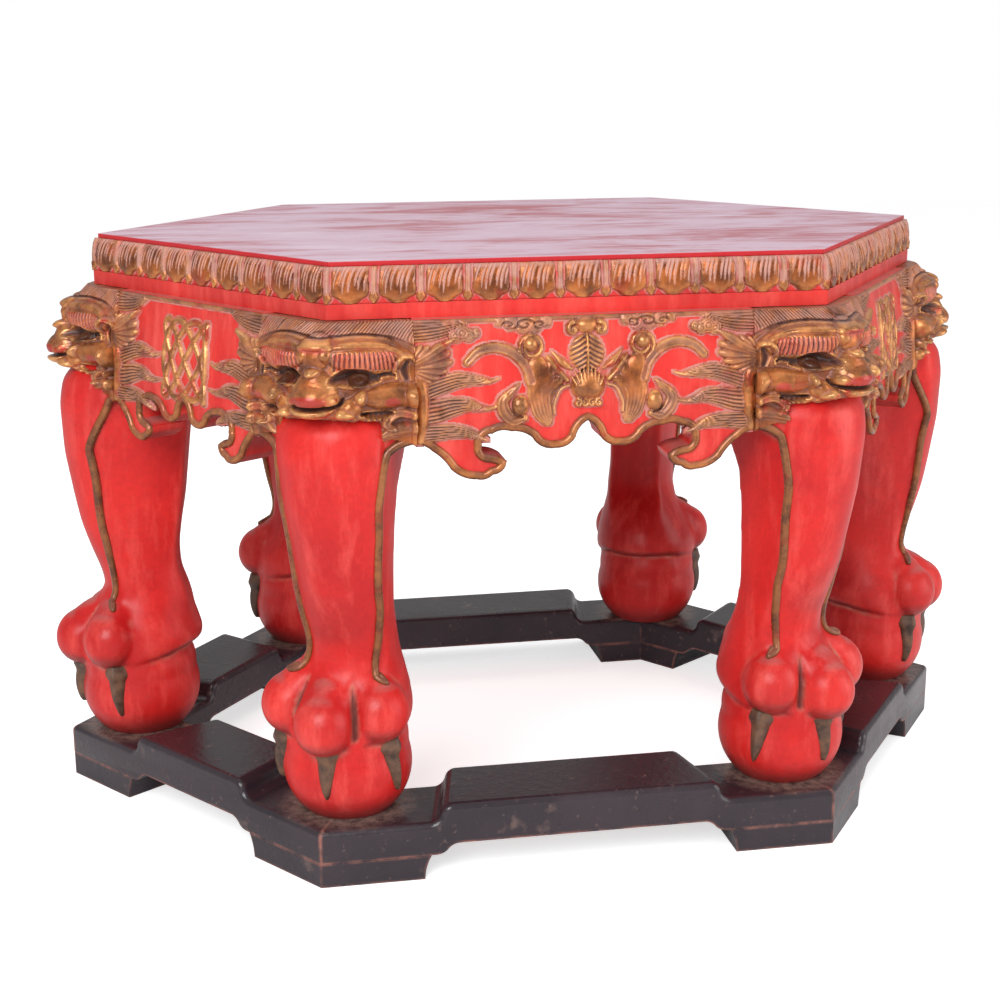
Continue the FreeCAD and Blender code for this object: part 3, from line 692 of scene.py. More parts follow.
def apron_end(carving, seam):
    """Hair, ear and flames that spread from a leg's mask onto an apron."""
    for line, widths in FLAMES:
        carving.tuft(from_seam(seam, line), widths, 4.8, 6, 1.7)
    carving.tuft(from_seam(seam, ((3, 464), (-12, 465), (-26, 467), (-42, 471.5))),
                 (7.5, 8, 6.5, 2), 3.6, 6, 1.6)
    carving.tuft(from_seam(seam, ((3, 471.5), (-14, 471), (-34, 471.8))), (3.5, 3.5, 2), 3.0, 3, 1.2)
    carving.fan((seam + 6, 437), (90, 140, 158, 172, 190, 215, 245),
                (13, 27, 38, 38, 31, 22, 14), 6.6, 12, 2.0)
    carving.tuft(from_seam(seam, ((2, 441), (-9, 446), (-20, 452.5), (-32, 460))),
                 (2.6, 4.2, 4.4, 0.8), 7.4, 2, 0.9, hair=0.3)
    carving.stroke(from_seam(seam, ((2, 427), (-4.5, 424), (-6, 410), (-5.5, 396), (-3.5, 381))),
                   (6.0, 6.4, 5.6, 4.2), 7.0, power=0.6)


def top_bead(carving, half):
    """Narrow gilt line along the top of an apron."""
    carving.stroke([(-half, 473.2), (0, 473.2), (half, 473.2)], 2.0, 1.9, hair=0.5)


def wing_of_bat(carving):
    """Right wing: an arm that ends in a tendril, two upper points and a rounded lower end."""
    carving.tuft([(41, 435), (37, 425), (38, 412), (36.5, 401), (33.5, 392.5)], (9.0, 12.5, 11.5, 9.5, 5.0),
                 5.0, 7, 1.3, hair=0.4, fade=0.38)
    carving.tuft([(24, 424), (29, 420), (34, 412), (32, 398)], (4.5, 6.5, 7.5, 4.5), 5.0, 4, 1.1,
                 hair=0.4, fade=0.3)
    for tip, root in (((30.5, 444.0), (31, 430)), ((43.0, 442.5), (44, 430))):
        middle = (root[0] + tip[0]) / 2 - 0.8, (root[1] + tip[1]) / 2
        carving.stroke([root, middle, tip], (6.0, 4.2, 0.6), 4.8)
    carving.stroke([(17, 424), (24, 431), (33, 443)], (2.2, 3.0, 1.2), 5.6)
    carving.stroke([(13, 433), (21, 438), (29, 447)], (1.8, 3.4, 0.6), 5.0)
    carving.stroke([(16, 420), (23, 417), (28, 406), (28, 398)], (1.5, 1.6, 1.4), 6.0, hair=0.6)
    tendril = [(46, 424), (50, 436), (60, 446.5), (73, 451), (87, 449), (97, 440.5)]
    carving.stroke(tendril, (5.0, 4.6, 4.4, 4.2, 3.4), 4.6)
    carving.stroke(tendril, (2.3, 2.2, 2.2, 2.0, 1.4), 1.5, mode="cut", hair=0.7)


def clouds_and_pearl(carving):
    """Row of clouds with cut spirals, and a pearl in a scroll below it."""
    carving.cloud(((33, 470.5, 5.5), (42, 468.0, 7.0), (51, 468.5, 7.5), (61, 470.0, 6.5), (70, 471.5, 4.5)),
                  3.4, 0)
    for place, size, sign in ((38, 4.6, 1), (50, 6.0, -1), (63, 5.0, 1)):
        line = [(place + 1.5 * (across - place), 468.5 + 0.8 * (level - 468.5))
                for across, level in scroll_line((place, 468.5), size, 1.2, 200, sign, 0.2)]
        carving.stroke(line, (0.8, 1.0, 0.9), 1.5, mode="cut", hair=0.8, smooth=False)
    carving.stroke(scroll_line((45, 450.5), 10.5, 1.1, 330, 1, 0.55), (1.6, 2.2, 2.0, 1.6), 4.2, smooth=False)
    carving.dome((46, 453.5), (6.6, 6.6), 7.4)


def leaf_round_ball(carving):
    """Curled leaf that holds a ball below the wing."""
    carving.tuft([(52, 395), (61, 394), (68, 401), (69, 409), (62, 416), (56, 422)],
                 (3.0, 6.0, 6.2, 5.0, 3.5, 1.0), 4.2, 3, 1.2, hair=0.6)
    carving.stroke([(66, 413), (71, 409), (76, 405)], (4.0, 2.6, 0.6), 4.0)
    carving.dome((55.5, 405), (7.4, 8.6), 6.4)
    # Cut round the ball, in painted shade.
    carving.stroke([(60.5, 412), (62.5, 405), (59.5, 398), (54, 396)], (1.2, 1.4, 1.0), 2.6,
                   mode="cut", dark=0.5)


def body_of_bat(carving):
    """Ribbed body with its cap and ears, and the head below."""
    carving.dome((0, 444.5), (14.5, 15.5), 5.4)
    for number in range(7):
        low = 429.5 + 4.1 * number
        carving.stroke([(-14, low - 3.5), (-6, low + 0.5), (0, low + 4), (6, low + 0.5), (14, low - 3.5)],
                       (0.7, 1.0, 0.7), 1.6, mode="cut", hair=1.0)
    carving.stroke([(0, 431), (0, 444), (0, 458)], (1.2, 1.6, 1.2), 6.6)
    carving.dome((0, 467), (9.5, 7.0), 6.0)
    for sign in (-1, 1):
        ear = scroll_line((sign * 11, 464), 5.2, 0.9, 90, -sign)
        carving.stroke(ear, (2.4, 2.6, 2.0), 5.4, smooth=False)
    carving.dome((0, 418.5), (14.0, 12.5), 7.8, power=0.6)
    for place in range(-4, 5):
        ray = [(2.4 * place, 424 - 0.25 * place ** 2), (3.4 * place, 434.5 - 0.45 * place ** 2)]
        carving.stroke(ray, (1.5, 0.5), 7.0, smooth=False)
    for place in (-8.6, -3.0, 3.0, 8.6):
        curl = scroll_line((place, 405.5), 3.4, 1.0, 90, 1 if place > 0 else -1)
        carving.stroke(curl, (1.5, 1.6, 1.2), 5.4, smooth=False)


def long_apron_carving():
    """Bat with spread wings, clouds, pearls, leaves and flames. All but its body is drawn on the right."""
    carving = Carving((-LONG_APRON_HALF, LONG_APRON_HALF), APRON_RELIEF, APRON_CELL, APRON_GROUND)
    apron_end(carving, LONG_APRON_HALF)
    carving.cloud(((95, 461.5, 5.5), (100.5, 463.5, 6.5), (106, 461.5, 6.0), (89.5, 463, 4.0)), 3.6, 3)
    wing_of_bat(carving)
    clouds_and_pearl(carving)
    leaf_round_ball(carving)
    carving.mirror("union")
    body_of_bat(carving)
    top_bead(carving, LONG_APRON_HALF)
    return carving


def short_apron_carving():
    """Flames at both ends and a woven knot in the middle."""
    carving = Carving((-SHORT_APRON_HALF, SHORT_APRON_HALF), APRON_RELIEF, APRON_CELL, APRON_GROUND)
    apron_end(carving, SHORT_APRON_HALF)
    carving.mirror("union")
    # One strand woven through itself: it rises and sinks where it crosses
    turns = np.linspace(0, 2 * math.pi, KNOT_SPANS + 1)
    across = KNOT_HALF_WIDTH * np.sin(3 * turns + math.pi / 2)
    up = KNOT_LEVEL + KNOT_HALF_HEIGHT * np.sin(4 * turns)
    knot = np.stack((across, up), -1)
    for number in range(KNOT_SPANS):
        lift = 3.0 + 0.9 * math.cos(12 * turns[number])
        carving.stroke(knot[number:number + 2], 2.7, lift, smooth=False)
    top_bead(carving, SHORT_APRON_HALF)
    return carving


def apron_edge_line(half):
    """Lower outline of an apron as places along it and levels, from its left end to its right."""
    points = [(half * share, APRON_LEVEL - APRON_DEPTH * drop) for share, drop, bulge in APRON_EDGE]
    line = [points[0]]
    for number in range(1, len(points)):
        start, end = np.array(points[number - 1]), np.array(points[number])
        bulge = -APRON_EDGE[number][2]
        chord = end - start
        middle = (start + end) / 2 + np.array((-chord[1], chord[0])) * -bulge
        if abs(bulge) < 1e-6:
            line.append(tuple(end))
            continue
        centre, radius = circle_through(start, middle, end)
        first = math.atan2(*(start - centre)[::-1])
        sweep = math.atan2(*(end - centre)[::-1]) - first
        sweep = (sweep + math.pi) % (2 * math.pi) - math.pi
        for share in np.linspace(0, 1, 9)[1:]:
            angle = first + sweep * share
            line.append((centre[0] + radius * math.cos(angle), centre[1] + radius * math.sin(angle)))
    right = np.array(line)
    left = right[:0:-1] * (-1, 1)
    return np.concatenate((left, right))


def inward(line, distance):
    """Line moved to its left by a distance, evened out."""
    step = np.gradient(line, axis=0)
    side = np.stack((-step[:, 1], step[:, 0]), -1)
    side /= np.maximum(np.linalg.norm(side, axis=1), 1e-9)[:, None]
    return line + side * distance


def apron_piece_mesh(name, side, carving, half, shift, bead_radius):
    """Relief islands and edge bead of an apron."""
    shown = widened(carving.height > 0.05, 2)
    tones = carving.tones(2, 1.0)
    skirt = shown & (carving.height <= 0.05)
    carving.height = np.where(skirt, 0.25, carving.height)
    tones[..., 0] = np.where(skirt, 0.3, tones[..., 0])
    tones[..., 1] = np.where(skirt, 0.8, 0.8 * tones[..., 1])
    # Painted shade made a little stronger on the relief, and none on the skirt.
    tones[..., 2] = np.where(skirt, 0, np.clip(1.15 * tones[..., 2], 0, 1))

    def place(along, level, height):
        return side.place(face_outset(level) + height, along + shift, level)

    relief = carved_mesh(name, carving, tones, shown, place, APRON_RELIEF_BACK, side.out)
    line = inward(apron_edge_line(half), EDGE_BEAD_INSET)
    inside = np.abs(line[:, 0]) <= half
    line = line[inside]
    spots = side.place(face_outset(line[:, 1]) + 0.3, line[:, 0] + shift, line[:, 1])
    bead = tube_mesh(name + "_bead", [(spots, np.ones(len(spots)))], bead_radius, 0.12)
    return joined(name, (relief, bead))


# Masks

def mask_place(corner, wing):
    """Maps place from the corner, level and height onto the two faces that meet at a corner."""
    sine, cosine = math.sin(corner.half_angle), math.cos(corner.half_angle)

    def place(along, level, height):
        outset = face_outset(np.clip(level, APRON_FACE[-1][1], APRON_LEVEL))
        beside = along * (wing + outset / math.tan(corner.half_angle)) / MASK_HALF
        near = np.abs(beside) < MASK_ROUNDING
        slope = np.where(near, beside / MASK_ROUNDING, np.sign(beside))
        fall = np.where(near, beside ** 2 / (2 * MASK_ROUNDING) + MASK_ROUNDING / 2, np.abs(beside))
        across = cosine * slope
        length = np.hypot(sine, across)
        out = outset / sine - cosine * fall + height * sine / length
        lateral = beside * sine + height * across / length
        return corner.place(out, lateral, level)

    return place


def mask_brow(carving):
    """Bulging brow with combed hairs on its front, a smooth ridge above it, and the knob and the nose."""
    carving.dome((36, 449), (32, 13), 8.0, mode="add", turn=-7, power=0.6)
    carving.dome((60, 448.5), (13, 8), 3.0, mode="add", turn=-20, power=0.8)
    carving.stroke([(-12, 459.2), (8, 459.8), (30, 461.2), (52, 457.8), (69, 448.5)],
                   (3.6, 4.6, 4.4, 3.4), 4.0, mode="add", power=0.7)
    # Groove above the ridge: dusty, with painted shade in it.
    carving.stroke([(-10, 464.2), (10, 464.8), (30, 466), (54, 462.6), (73, 455)], (0.9, 1.0, 0.9), 1.6,
                   mode="cut", hair=1.0, dark=0.4)
    for number in range(14):
        start = 14.5 + 3.15 * number
        low = 438.8 + 2.6 * math.exp(-((start - 27) / 11) ** 2)
        lean = (start - 26) * 0.06
        high = 453.5 - 0.004 * (start - 30) ** 2
        carving.stroke([(start, high), (start + lean, 447), (start + 2.2 * lean, low)],
                       (0.5, 0.95, 0.8), 1.7, mode="cut", hair=1.0)
    carving.stroke([(0, 455.5), (0, 448), (0, 440.5)], (12.5, 9.5, 5.0), 9.5, mode="add", power=0.55)
    carving.stroke([(0, 434), (0, 427), (0, 420)], (9.0, 13.5, 17.5), 15.5, mode="add", power=0.5)
    carving.dome((0, 420.5), (11, 9), 3.5, mode="add", power=0.8)
    carving.dome((14.5, 417.5), (5.6, 5.6), 4.0, mode="add", power=0.6)


def mask_eye(carving):
    """Almond hollow with a dark ringed ball, and a slit that runs on to the ear."""
    # The almond hollow and the slit are filled with painted shade.
    carving.stroke([(13, 432.5), (22, 434.6), (32, 434.0), (44, 431.5)], (3.0, 6.6, 6.4, 2.0), 11.0,
                   mode="cut", power=0.6, dark=1.0)
    carving.stroke([(42, 433), (50, 434.8), (57, 433.8)], (1.6, 1.9, 1.0), 5.0, mode="cut", dark=1.0)
    carving.dome((30, 431.6), (8.6, 5.6), 8.0, mode="add", power=0.5)
    carving.dome((30, 431.4), (5.2, 3.4), 1.2, mode="cut", power=0.3)
    carving.dome((30, 431.4), (3.4, 2.2), 1.6, mode="add", power=0.5)
    v, z = np.abs(carving.a), carving.z
    socket = np.hypot((v - 30) / 16, (z - 433) / 7.5) < 1
    eyeball = np.hypot((v - 30) / 8.6, (z - 431.6) / 5.6) < 1
    carving.dark[socket & eyeball] = 0.88
    # Patches where little gilding is left: nose, knob, cheek and jaw
    for spot, radii, left in (((0, 417.5), (15, 5.5), 0.15), ((2, 456), (9, 3.0), 0.45),
                              ((54, 414), (7, 4.5), 0.3), ((66, 400), (3.5, 8), 0.65)):
        far = ((v - spot[0]) / radii[0]) ** 2 + ((z - spot[1]) / radii[1]) ** 2
        patch = np.clip(1.6 - 1.6 * far, 0, 1)
        carving.gilt = np.minimum(carving.gilt, 1 - (1 - left) * patch)
        carving.dark = np.maximum(carving.dark, 0.4 * (1 - left) * patch)
    strands = (v > 13) & (v < 57) & (z < 452.5) & (z > 439.5)
    carving.gilt = np.where(strands, 0.5, carving.gilt)
    carving.stroke([(12, 429), (22, 426.4), (34, 426.0), (46, 429.5)], (1.0, 1.8, 1.2), 2.6, mode="add")


def mask_cheek(carving):
    """Roll that turns down into the jaw, and the ear with its hollow in painted shade."""
    carving.stroke([(33, 419), (45, 417.5), (58, 418.5), (74, 416.5)], (6.0, 10.0, 10.5, 9.0), 11.5,
                   mode="add", power=0.6)
    carving.stroke([(73, 420), (75.5, 408), (75, 394), (73, 380)], (9.0, 7.5, 6.4, 4.5), 6.0,
                   mode="add", power=0.6)
    carving.stroke([(58, 431), (57, 439), (61, 447), (69, 448), (75, 442)], (1.8, 2.4, 2.0), 4.6, mode="add")
    carving.stroke([(66.5, 443), (64.6, 437), (66.5, 430)], (2.2, 3.4, 2.4), 6.5,
                   mode="cut", power=0.7, dark=0.95)


def mask_mouth(carving):
    """Upper lip that is thin in the middle and flares at its corners, small teeth, and jaw leaves."""
    # Gap under the nose, in painted shade.
    carving.stroke([(-16, 413.6), (0, 411.8), (16, 413.6), (19, 418)], (1.9, 2.1, 1.9, 1.2), 6.0,
                   mode="cut", dark=1.0)
    lip = [(0, 407.2), (10, 407.0), (19, 408.0), (26, 412.0), (32, 422)]
    carving.stroke(lip, (4.0, 4.2, 6.2, 7.2, 2.4), 8.5, mode="add", power=0.45)
    carving.stroke([(19, 407), (24, 404.5), (27.5, 401.8)], (4.4, 3.4, 0.8), 6.0, mode="add", power=0.5)
    # Mouth opening in painted shade. The teeth in it get only a little.
    carving.stroke([(32, 404.6), (42, 403.4), (54, 404.4)], (1.6, 2.6, 1.6), 9.0,
                   mode="cut", power=0.6, dark=1.0)
    for spot in (36.5, 40.6, 44.7, 48.8):
        carving.dome((spot, 401.4), (1.8, 2.2), 7.0, mode="add", power=0.5)
        tooth = np.hypot((np.abs(carving.a) - spot) / 1.8, (carving.z - 401.4) / 2.2) < 1
        carving.dark[tooth] = 0.2
    carving.tuft([(70, 402), (60, 404.5), (53, 401), (50, 395.5), (56, 392)],
                 (4.0, 5.0, 4.6, 4.2, 2.0), 6.5, 2, 1.8, mode="add", hair=0.3)
    carving.tuft([(72, 392), (62, 391.5), (52, 389), (42.5, 384.5)],
                 (5.0, 5.6, 4.4, 0.8), 6.0, 2, 1.0, mode="add", hair=0.3)


def mask_hair(carving):
    """Hair combed over the forehead: every strand leans the same way."""
    top = np.clip((carving.z - 461.5) / 5.0, 0, 1)
    rise = np.clip(carving.z - 461.0, 0, 20)
    lean = carving.a - 0.62 * rise - 0.018 * rise ** 2
    locks = 0.5 + 0.5 * np.cos(2 * math.pi * lean / 2.9)
    hairline = np.interp(np.abs(carving.a), *MASK_HAIRLINE)
    hair = carving.z > hairline
    groups = 0.5 + 0.5 * np.cos(2 * math.pi * (lean + 4) / 24.0)
    rows = np.where(hair, 1.5 * locks - 0.8 * (groups > 0.93), 0)
    carving.height += rows * np.clip((carving.z - hairline) / 2, 0, 1)
    carving.hair = np.where(hair, 1.0, carving.hair)
    # Gaps between the locks get painted shade, towards the top of the hair.
    carving.dark = np.maximum(carving.dark, np.where(hair, np.clip(0.34 - locks, 0, 0.34) * 2.4, 0) * top)


def mask_carving():
    """Lion face. Only the right half is worked out, apart from the combed hair."""
    carving = Carving((-MASK_HALF, MASK_HALF), MASK_RELIEF, MASK_CELL, 0)
    swell = np.interp(carving.z, *MASK_SWELL)
    carving.height = (4.5 + 14.5 * np.exp(-(np.abs(carving.a) / 38.0) ** 2.4)) * swell
    mask_brow(carving)
    mask_eye(carving)
    mask_cheek(carving)
    mask_mouth(carving)
    carving.height = np.maximum(carving.height, MASK_LEAST)
    carving.mirror()
    mask_hair(carving)
    return carving


# Legs

def leg_reach(corner, ring_corner):
    """How far the reference line of a leg stands out from the rim corner, at a level."""
    waist = WAIST_SETOUT / math.sin(corner.half_angle)
    foot = float((ring_corner.point - corner.point) @ corner.out)
    return lambda level: waist + (foot - waist) * (APRON_LEVEL - level) / (APRON_LEVEL - RING_LEVEL)


def leg_drift(corner, ring_corner):
    """How far the palm stands beside the leg's reference line, at a level."""
    foot = float((ring_corner.point - corner.point) @ corner.along)
    return lambda level: foot * float(np.interp(level, *PALM_DRIFT))


def leg_station(level):
    """Outward reach, inward reach and half width of the core, smoothed between the stations."""
    levels = LEG_STATIONS[::-1, 0]
    values = [np.interp(level, levels, LEG_STATIONS[::-1, column]) for column in (1, 2, 3)]
    near = [[np.interp(np.clip(level + shift, PALM_LEVEL, APRON_LEVEL), levels, LEG_STATIONS[::-1, column])
             for shift in (-6, -3, 3, 6)] for column in (1, 2, 3)]
    return [(value + sum(others)) / 5 for value, others in zip(values, near)]


def core_outline(level, count, axis, square):
    """Closed section of the leg's core: outward and beside, going round once. It turns into a circle
    round the ball's axis where the palm is."""
    outer, inner, half = leg_station(level)
    inner = inner - square * float(np.interp(level, *LEG_SHALLOWER))
    rear_share = REAR_SHARE + REAR_SQUARE * square
    front = int(count * FRONT_POINTS)
    flank = int(count * FLANK_POINTS)
    rear = count - front - 2 * flank
    across = np.linspace(-1, 1, front, endpoint=False)
    step = np.linspace(0, 1, flank, endpoint=False)
    behind = np.linspace(1, -1, rear, endpoint=False)
    swell = FLANK_SWELL * np.sin(math.pi * step)
    shoulder = outer - FRONT_FALL * half
    out = np.concatenate((outer - FRONT_FALL * half * np.abs(across) ** FRONT_CURVE,
                          shoulder - (inner + shoulder) * step,
                          -inner - REAR_SWELL * half * (1 - behind ** 2),
                          (inner + shoulder) * step - inner))
    beside = np.concatenate((half * across, half * (1 - (1 - rear_share) * step) + swell,
                             rear_share * half * behind,
                             -half * (rear_share + (1 - rear_share) * step) - swell))
    radius, share = [np.interp(level, PALM[:, 0], PALM[:, column]) for column in (1, 2)]
    turn = np.radians(np.interp(np.arange(count), (0, front, front + flank, count - flank, count),
                                (-50, 50, 150, 210, 310)))
    deeper = np.where(np.cos(turn) < 0, PALM_DEEPER, 1.0)
    out = out * (1 - share) + (axis + deeper * radius * np.cos(turn)) * share
    return out, beside * (1 - share) + PALM_NARROWER * radius * np.sin(turn) * share


def add_core(bm, corner, reach, drift, square):
    """Core of the leg, a tube of sections from under the top down to the palm."""
    count, rows = 60, 90
    before = set(bm.verts)
    bmesh.ops.create_grid(bm, x_segments=rows, y_segments=count, size=0.5)
    made = [vert for vert in bm.verts if vert not in before]
    levels = np.linspace(LEG_TOP, PALM_LEVEL, rows + 1)
    axis = reach(RING_LEVEL) - BALL_INSET
    outlines = [core_outline(level, count, axis - reach(level), square) for level in levels]
    for vert in made:
        row = int(round((vert.co.x + 0.5) * rows))
        around = int(round((vert.co.y + 0.5) * count)) % count
        out, beside = outlines[row]
        level = levels[row]
        away = out[around] - (axis - reach(level))
        behind = -away / max(math.hypot(away, beside[around]), 1)
        lift = HEEL_RISE * np.interp(behind, *HEEL_SPREAD) * np.interp(level, *HEEL_FADE)
        spot = corner.place(out[around] + reach(level), beside[around] + drift(level), level + lift)
        vert.co = Vector(spot * MM)
    bmesh.ops.remove_doubles(bm, verts=made, dist=1e-7)
    open_edges = [edge for edge in bm.edges if edge.is_boundary]
    bmesh.ops.holes_fill(bm, edges=open_edges, sides=0)


def add_mass(bm, centre, axis, half_length, radius):
    """Egg shape round an axis, in millimetres."""
    turn = Vector(axis).normalized().to_track_quat("Z", "Y").to_matrix().to_4x4()
    matrix = Matrix.Translation(Vector(centre) * MM) @ turn @ Matrix.Diagonal(
        (radius * MM, radius * MM, half_length * MM, 1))
    bmesh.ops.create_icosphere(bm, subdivisions=4, radius=1, matrix=matrix)


def round_share(place):
    """Half width of a unit circle at a place from -1 to 1, and nothing beyond."""
    return math.sqrt(max(1 - place ** 2, 0))


def wing_arch(bend):
    """Level of a wing's lower edge: level at the seam, steep where it meets the leg."""
    return WING_KNEE + (WING_SHOULDER - WING_KNEE) * round_share(1 - bend)


def add_wing(bm, corner, wing, sign):
    """Board beside the leg's core, from the seam inwards, with its curved lower edge."""
    columns, rows = 24, 40
    before = set(bm.verts)
    bmesh.ops.create_grid(bm, x_segments=columns, y_segments=rows, size=0.5)
    made = [vert for vert in bm.verts if vert not in before]
    sine, cosine = math.sin(corner.half_angle), math.cos(corner.half_angle)

    def spot(across, up, inset):
        along = wing + (WING_ROOT - wing) * across
        bend = np.clip((along - WING_KNEE_PLACE) / (wing - WING_KNEE_PLACE), 0, 1)
        low = wing_arch(bend)
        level = low + (APRON_LEVEL - 1.0 - low) * up
        outset = float(face_outset(level)) if inset is None else inset
        out = outset / sine - (along + outset / math.tan(corner.half_angle)) * cosine
        beside = (along + outset / math.tan(corner.half_angle)) * sine
        return corner.place(out, sign * beside, level)

    places = {}
    for vert in made:
        places[vert] = (vert.co.x + 0.5, vert.co.y + 0.5)
        vert.co = Vector(spot(*places[vert], None) * MM)
    faces = {face for vert in made for face in vert.link_faces}
    layer = bm.verts.layers.float_vector["spot"]
    for vert in made:
        vert[layer] = Vector((*places[vert], 0))
    extruded = bmesh.ops.extrude_face_region(bm, geom=list(faces), use_keep_orig=True)["geom"]
    for item in extruded:
        if isinstance(item, bmesh.types.BMVert):
            across, up = item[layer][:2]
            item.co = Vector(spot(across, up, APRON_BACK) * MM)


def add_foot(bm, corner):
    """Ball, palm, three short round toes with the backs that join them to the ankle, and webs between."""
    axis = corner.place(-BALL_INSET, 0, 0)[:2]
    add_mass(bm, np.append(axis, BALL_LEVEL), (0, 0, 1), BALL_RADIUS, BALL_RADIUS + BALL_SWELL)
    add_mass(bm, np.append(axis, EGG_LEVEL), (0, 0, 1), EGG_HALF, EGG_RADIUS)
    for turn, far, level in TOES:
        out = corner.turned(turn)
        add_mass(bm, np.append(axis + out * far, level), (*(out * 0.25), -1), TOE_HALF, TOE_RADIUS)
        back = np.append(axis + out * (far - TOE_BACK[0]), level + TOE_BACK[1])
        add_mass(bm, back, (*out, -0.45), TOE_BACK_HALF, TOE_BACK_RADIUS)
    for turn in SLIT_TURNS:
        out = corner.turned(turn)
        web = np.append(axis + out * WEB_PLACE[0], WEB_PLACE[1])
        add_mass(bm, web, (*out, -0.6), WEB_HALF, WEB_RADIUS)


def surface_maths(mesh):
    """Vertex places, and a function that averages a field over each vertex's neighbours."""
    count = len(mesh.vertices)
    places = np.zeros(count * 3)
    mesh.vertices.foreach_get("co", places)
    edges = np.zeros(len(mesh.edges) * 2, int)
    mesh.edges.foreach_get("vertices", edges)
    edges = edges.reshape(-1, 2)
    near = np.bincount(edges.ravel(), minlength=count).astype(float)

    def averaged(values):
        total = np.stack([np.bincount(edges[:, 0], values[edges[:, 1], axis], count)
                          + np.bincount(edges[:, 1], values[edges[:, 0], axis], count)
                          for axis in range(values.shape[1])], -1)
        return total / np.maximum(near, 1)[:, None]

    return places.reshape(-1, 3), averaged


def remeshed(mesh, size):
    """Even skin round all the overlapping shapes of a mesh."""
    holder = bpy.data.objects.new(mesh.name, mesh)
    bpy.context.scene.collection.objects.link(holder)
    skin = holder.modifiers.new("Skin", "REMESH")
    skin.mode = "VOXEL"
    skin.voxel_size = size * MM
    skin.use_smooth_shade = True
    graph = bpy.context.evaluated_depsgraph_get()
    made = bpy.data.meshes.new_from_object(holder.evaluated_get(graph))
    bpy.data.objects.remove(holder)
    return made


def soothed(values, averaged, turns, share):
    """Field drawn towards the mean of its neighbours, several times."""
    for _ in range(turns):
        values = values + share * (averaged(values) - values)
    return values


def leg_mesh(name, corner, ring_corner, wing, square, size):
    """Red part of a leg: core, wings, toes, heel and ball under one skin."""
    bm = bmesh.new()
    bm.verts.layers.float_vector.new("spot")
    reach = leg_reach(corner, ring_corner)
    add_core(bm, corner, reach, leg_drift(corner, ring_corner), square)
    for sign in (-1, 1):
        add_wing(bm, corner, wing, sign)
    add_foot(bm, ring_corner)
    bmesh.ops.recalc_face_normals(bm, faces=bm.faces)
    rough = finished_mesh(bm, name + "_rough")
    mesh = remeshed(rough, size)
    mesh.name = name
    places, averaged = surface_maths(mesh)
    places = soothed(places / MM, averaged, 3, 0.5)
    centre = ring_corner.place(-BALL_INSET, 0, 0)[:2]
    # Slits between the toes
    flat = places[:, :2] - centre
    out = flat @ ring_corner.out
    beside = flat @ ring_corner.along
    angle = np.degrees(np.arctan2(beside, out))
    far = np.hypot(out, beside)
    level = places[:, 2]
    band = np.interp(level, *SLIT_BAND)
    wide = np.interp(level, *SLIT_WIDTH)
    for slit in SLIT_TURNS:
        off = (angle - slit) * math.pi / 180 * far
        deep = SLIT_DEPTH * np.exp(-(off / wide) ** 2) * band * (far > SLIT_START)
        push = deep / np.maximum(far, 1)
        places[:, :2] -= flat * push[:, None]
    places = soothed(places, averaged, 2, 0.5)
    # Flat seat on the ring
    low = places[:, 2] < RING_LEVEL
    places[low, 2] = RING_LEVEL - 0.5
    hollow = averaged(places) - places
    mesh.vertices.foreach_set("co", (places * MM).ravel())
    mesh.update()
    normals = np.zeros(len(places) * 3)
    mesh.vertices.foreach_get("normal", normals)
    bend = (hollow * normals.reshape(-1, 3)).sum(1)[:, None]
    bend = soothed(bend, averaged, 4, 0.6)[:, 0]
    colours = np.zeros((len(places), 4), np.float32)
    # Dust in the hollows, painted shade in the deepest hollows, and crests on the bulges, where the lacquer
    # is rubbed and carries a painted highlight.
    colours[:, 1] = np.clip(bend / 0.10 - 0.35, 0, 1)
    colours[:, 2] = np.clip(bend / 0.18 - 0.8, 0, 1)
    colours[:, 3] = np.clip(-bend / 0.12 - 0.2, 0, 1)
    layer = mesh.attributes.new("carving", "FLOAT_COLOR", "POINT")
    layer.data.foreach_set("color", colours.ravel())
    mesh.shade_smooth()
    return mesh


def claw_mesh(name, ring_corner):
    """Three ridged claws with a collar. They come out under the toes and lie against the ball."""
    claws = []
    centre = ring_corner.place(-BALL_INSET, 0, 0)[:2]
    for turn in CLAW_TURNS:
        out = ring_corner.turned(turn)
        side = np.array((-out[1], out[0]))
        bm = bmesh.new()
        bmesh.ops.create_grid(bm, x_segments=18, y_segments=8, size=0.5)
        flat = set(bm.verts)
        bmesh.ops.extrude_face_region(bm, geom=list(bm.faces), use_keep_orig=True)
        for vert in bm.verts:
            share, across = vert.co.x + 0.5, 2 * vert.co.y
            level = CLAW_TOP + (CLAW_TIP - CLAW_TOP) * share
            low = (BALL_RADIUS + BALL_SWELL) * round_share((level - BALL_LEVEL) / BALL_RADIUS)
            shoulder = EGG_RADIUS * round_share((level - EGG_LEVEL) / EGG_HALF)
            collar = math.exp(-((share - COLLAR_PLACE) / COLLAR_WIDTH) ** 2)
            half = CLAW_HALF * (1 - share) ** 0.7 + 1.2 + 2.0 * collar
            rise = (CLAW_RISE * (1 - share) ** 0.6 + 2.4) * (1 - abs(across)) ** 0.8 + 0.8 + 1.4 * collar
            proud = CLAW_SINK if vert in flat else rise
            reach = max(low, shoulder) + proud - 0.02 * (across * half) ** 2
            spread = turn / CLAW_TURNS[-1] * CLAW_SPREAD * share ** 2
            spot = centre + out * reach + side * (across * half + spread)
            vert.co = Vector((spot[0], spot[1], level)) * MM
        bmesh.ops.recalc_face_normals(bm, faces=bm.faces)
        claws.append(finished_mesh(bm, name + "_part", smooth=False))
    return joined(name, claws)


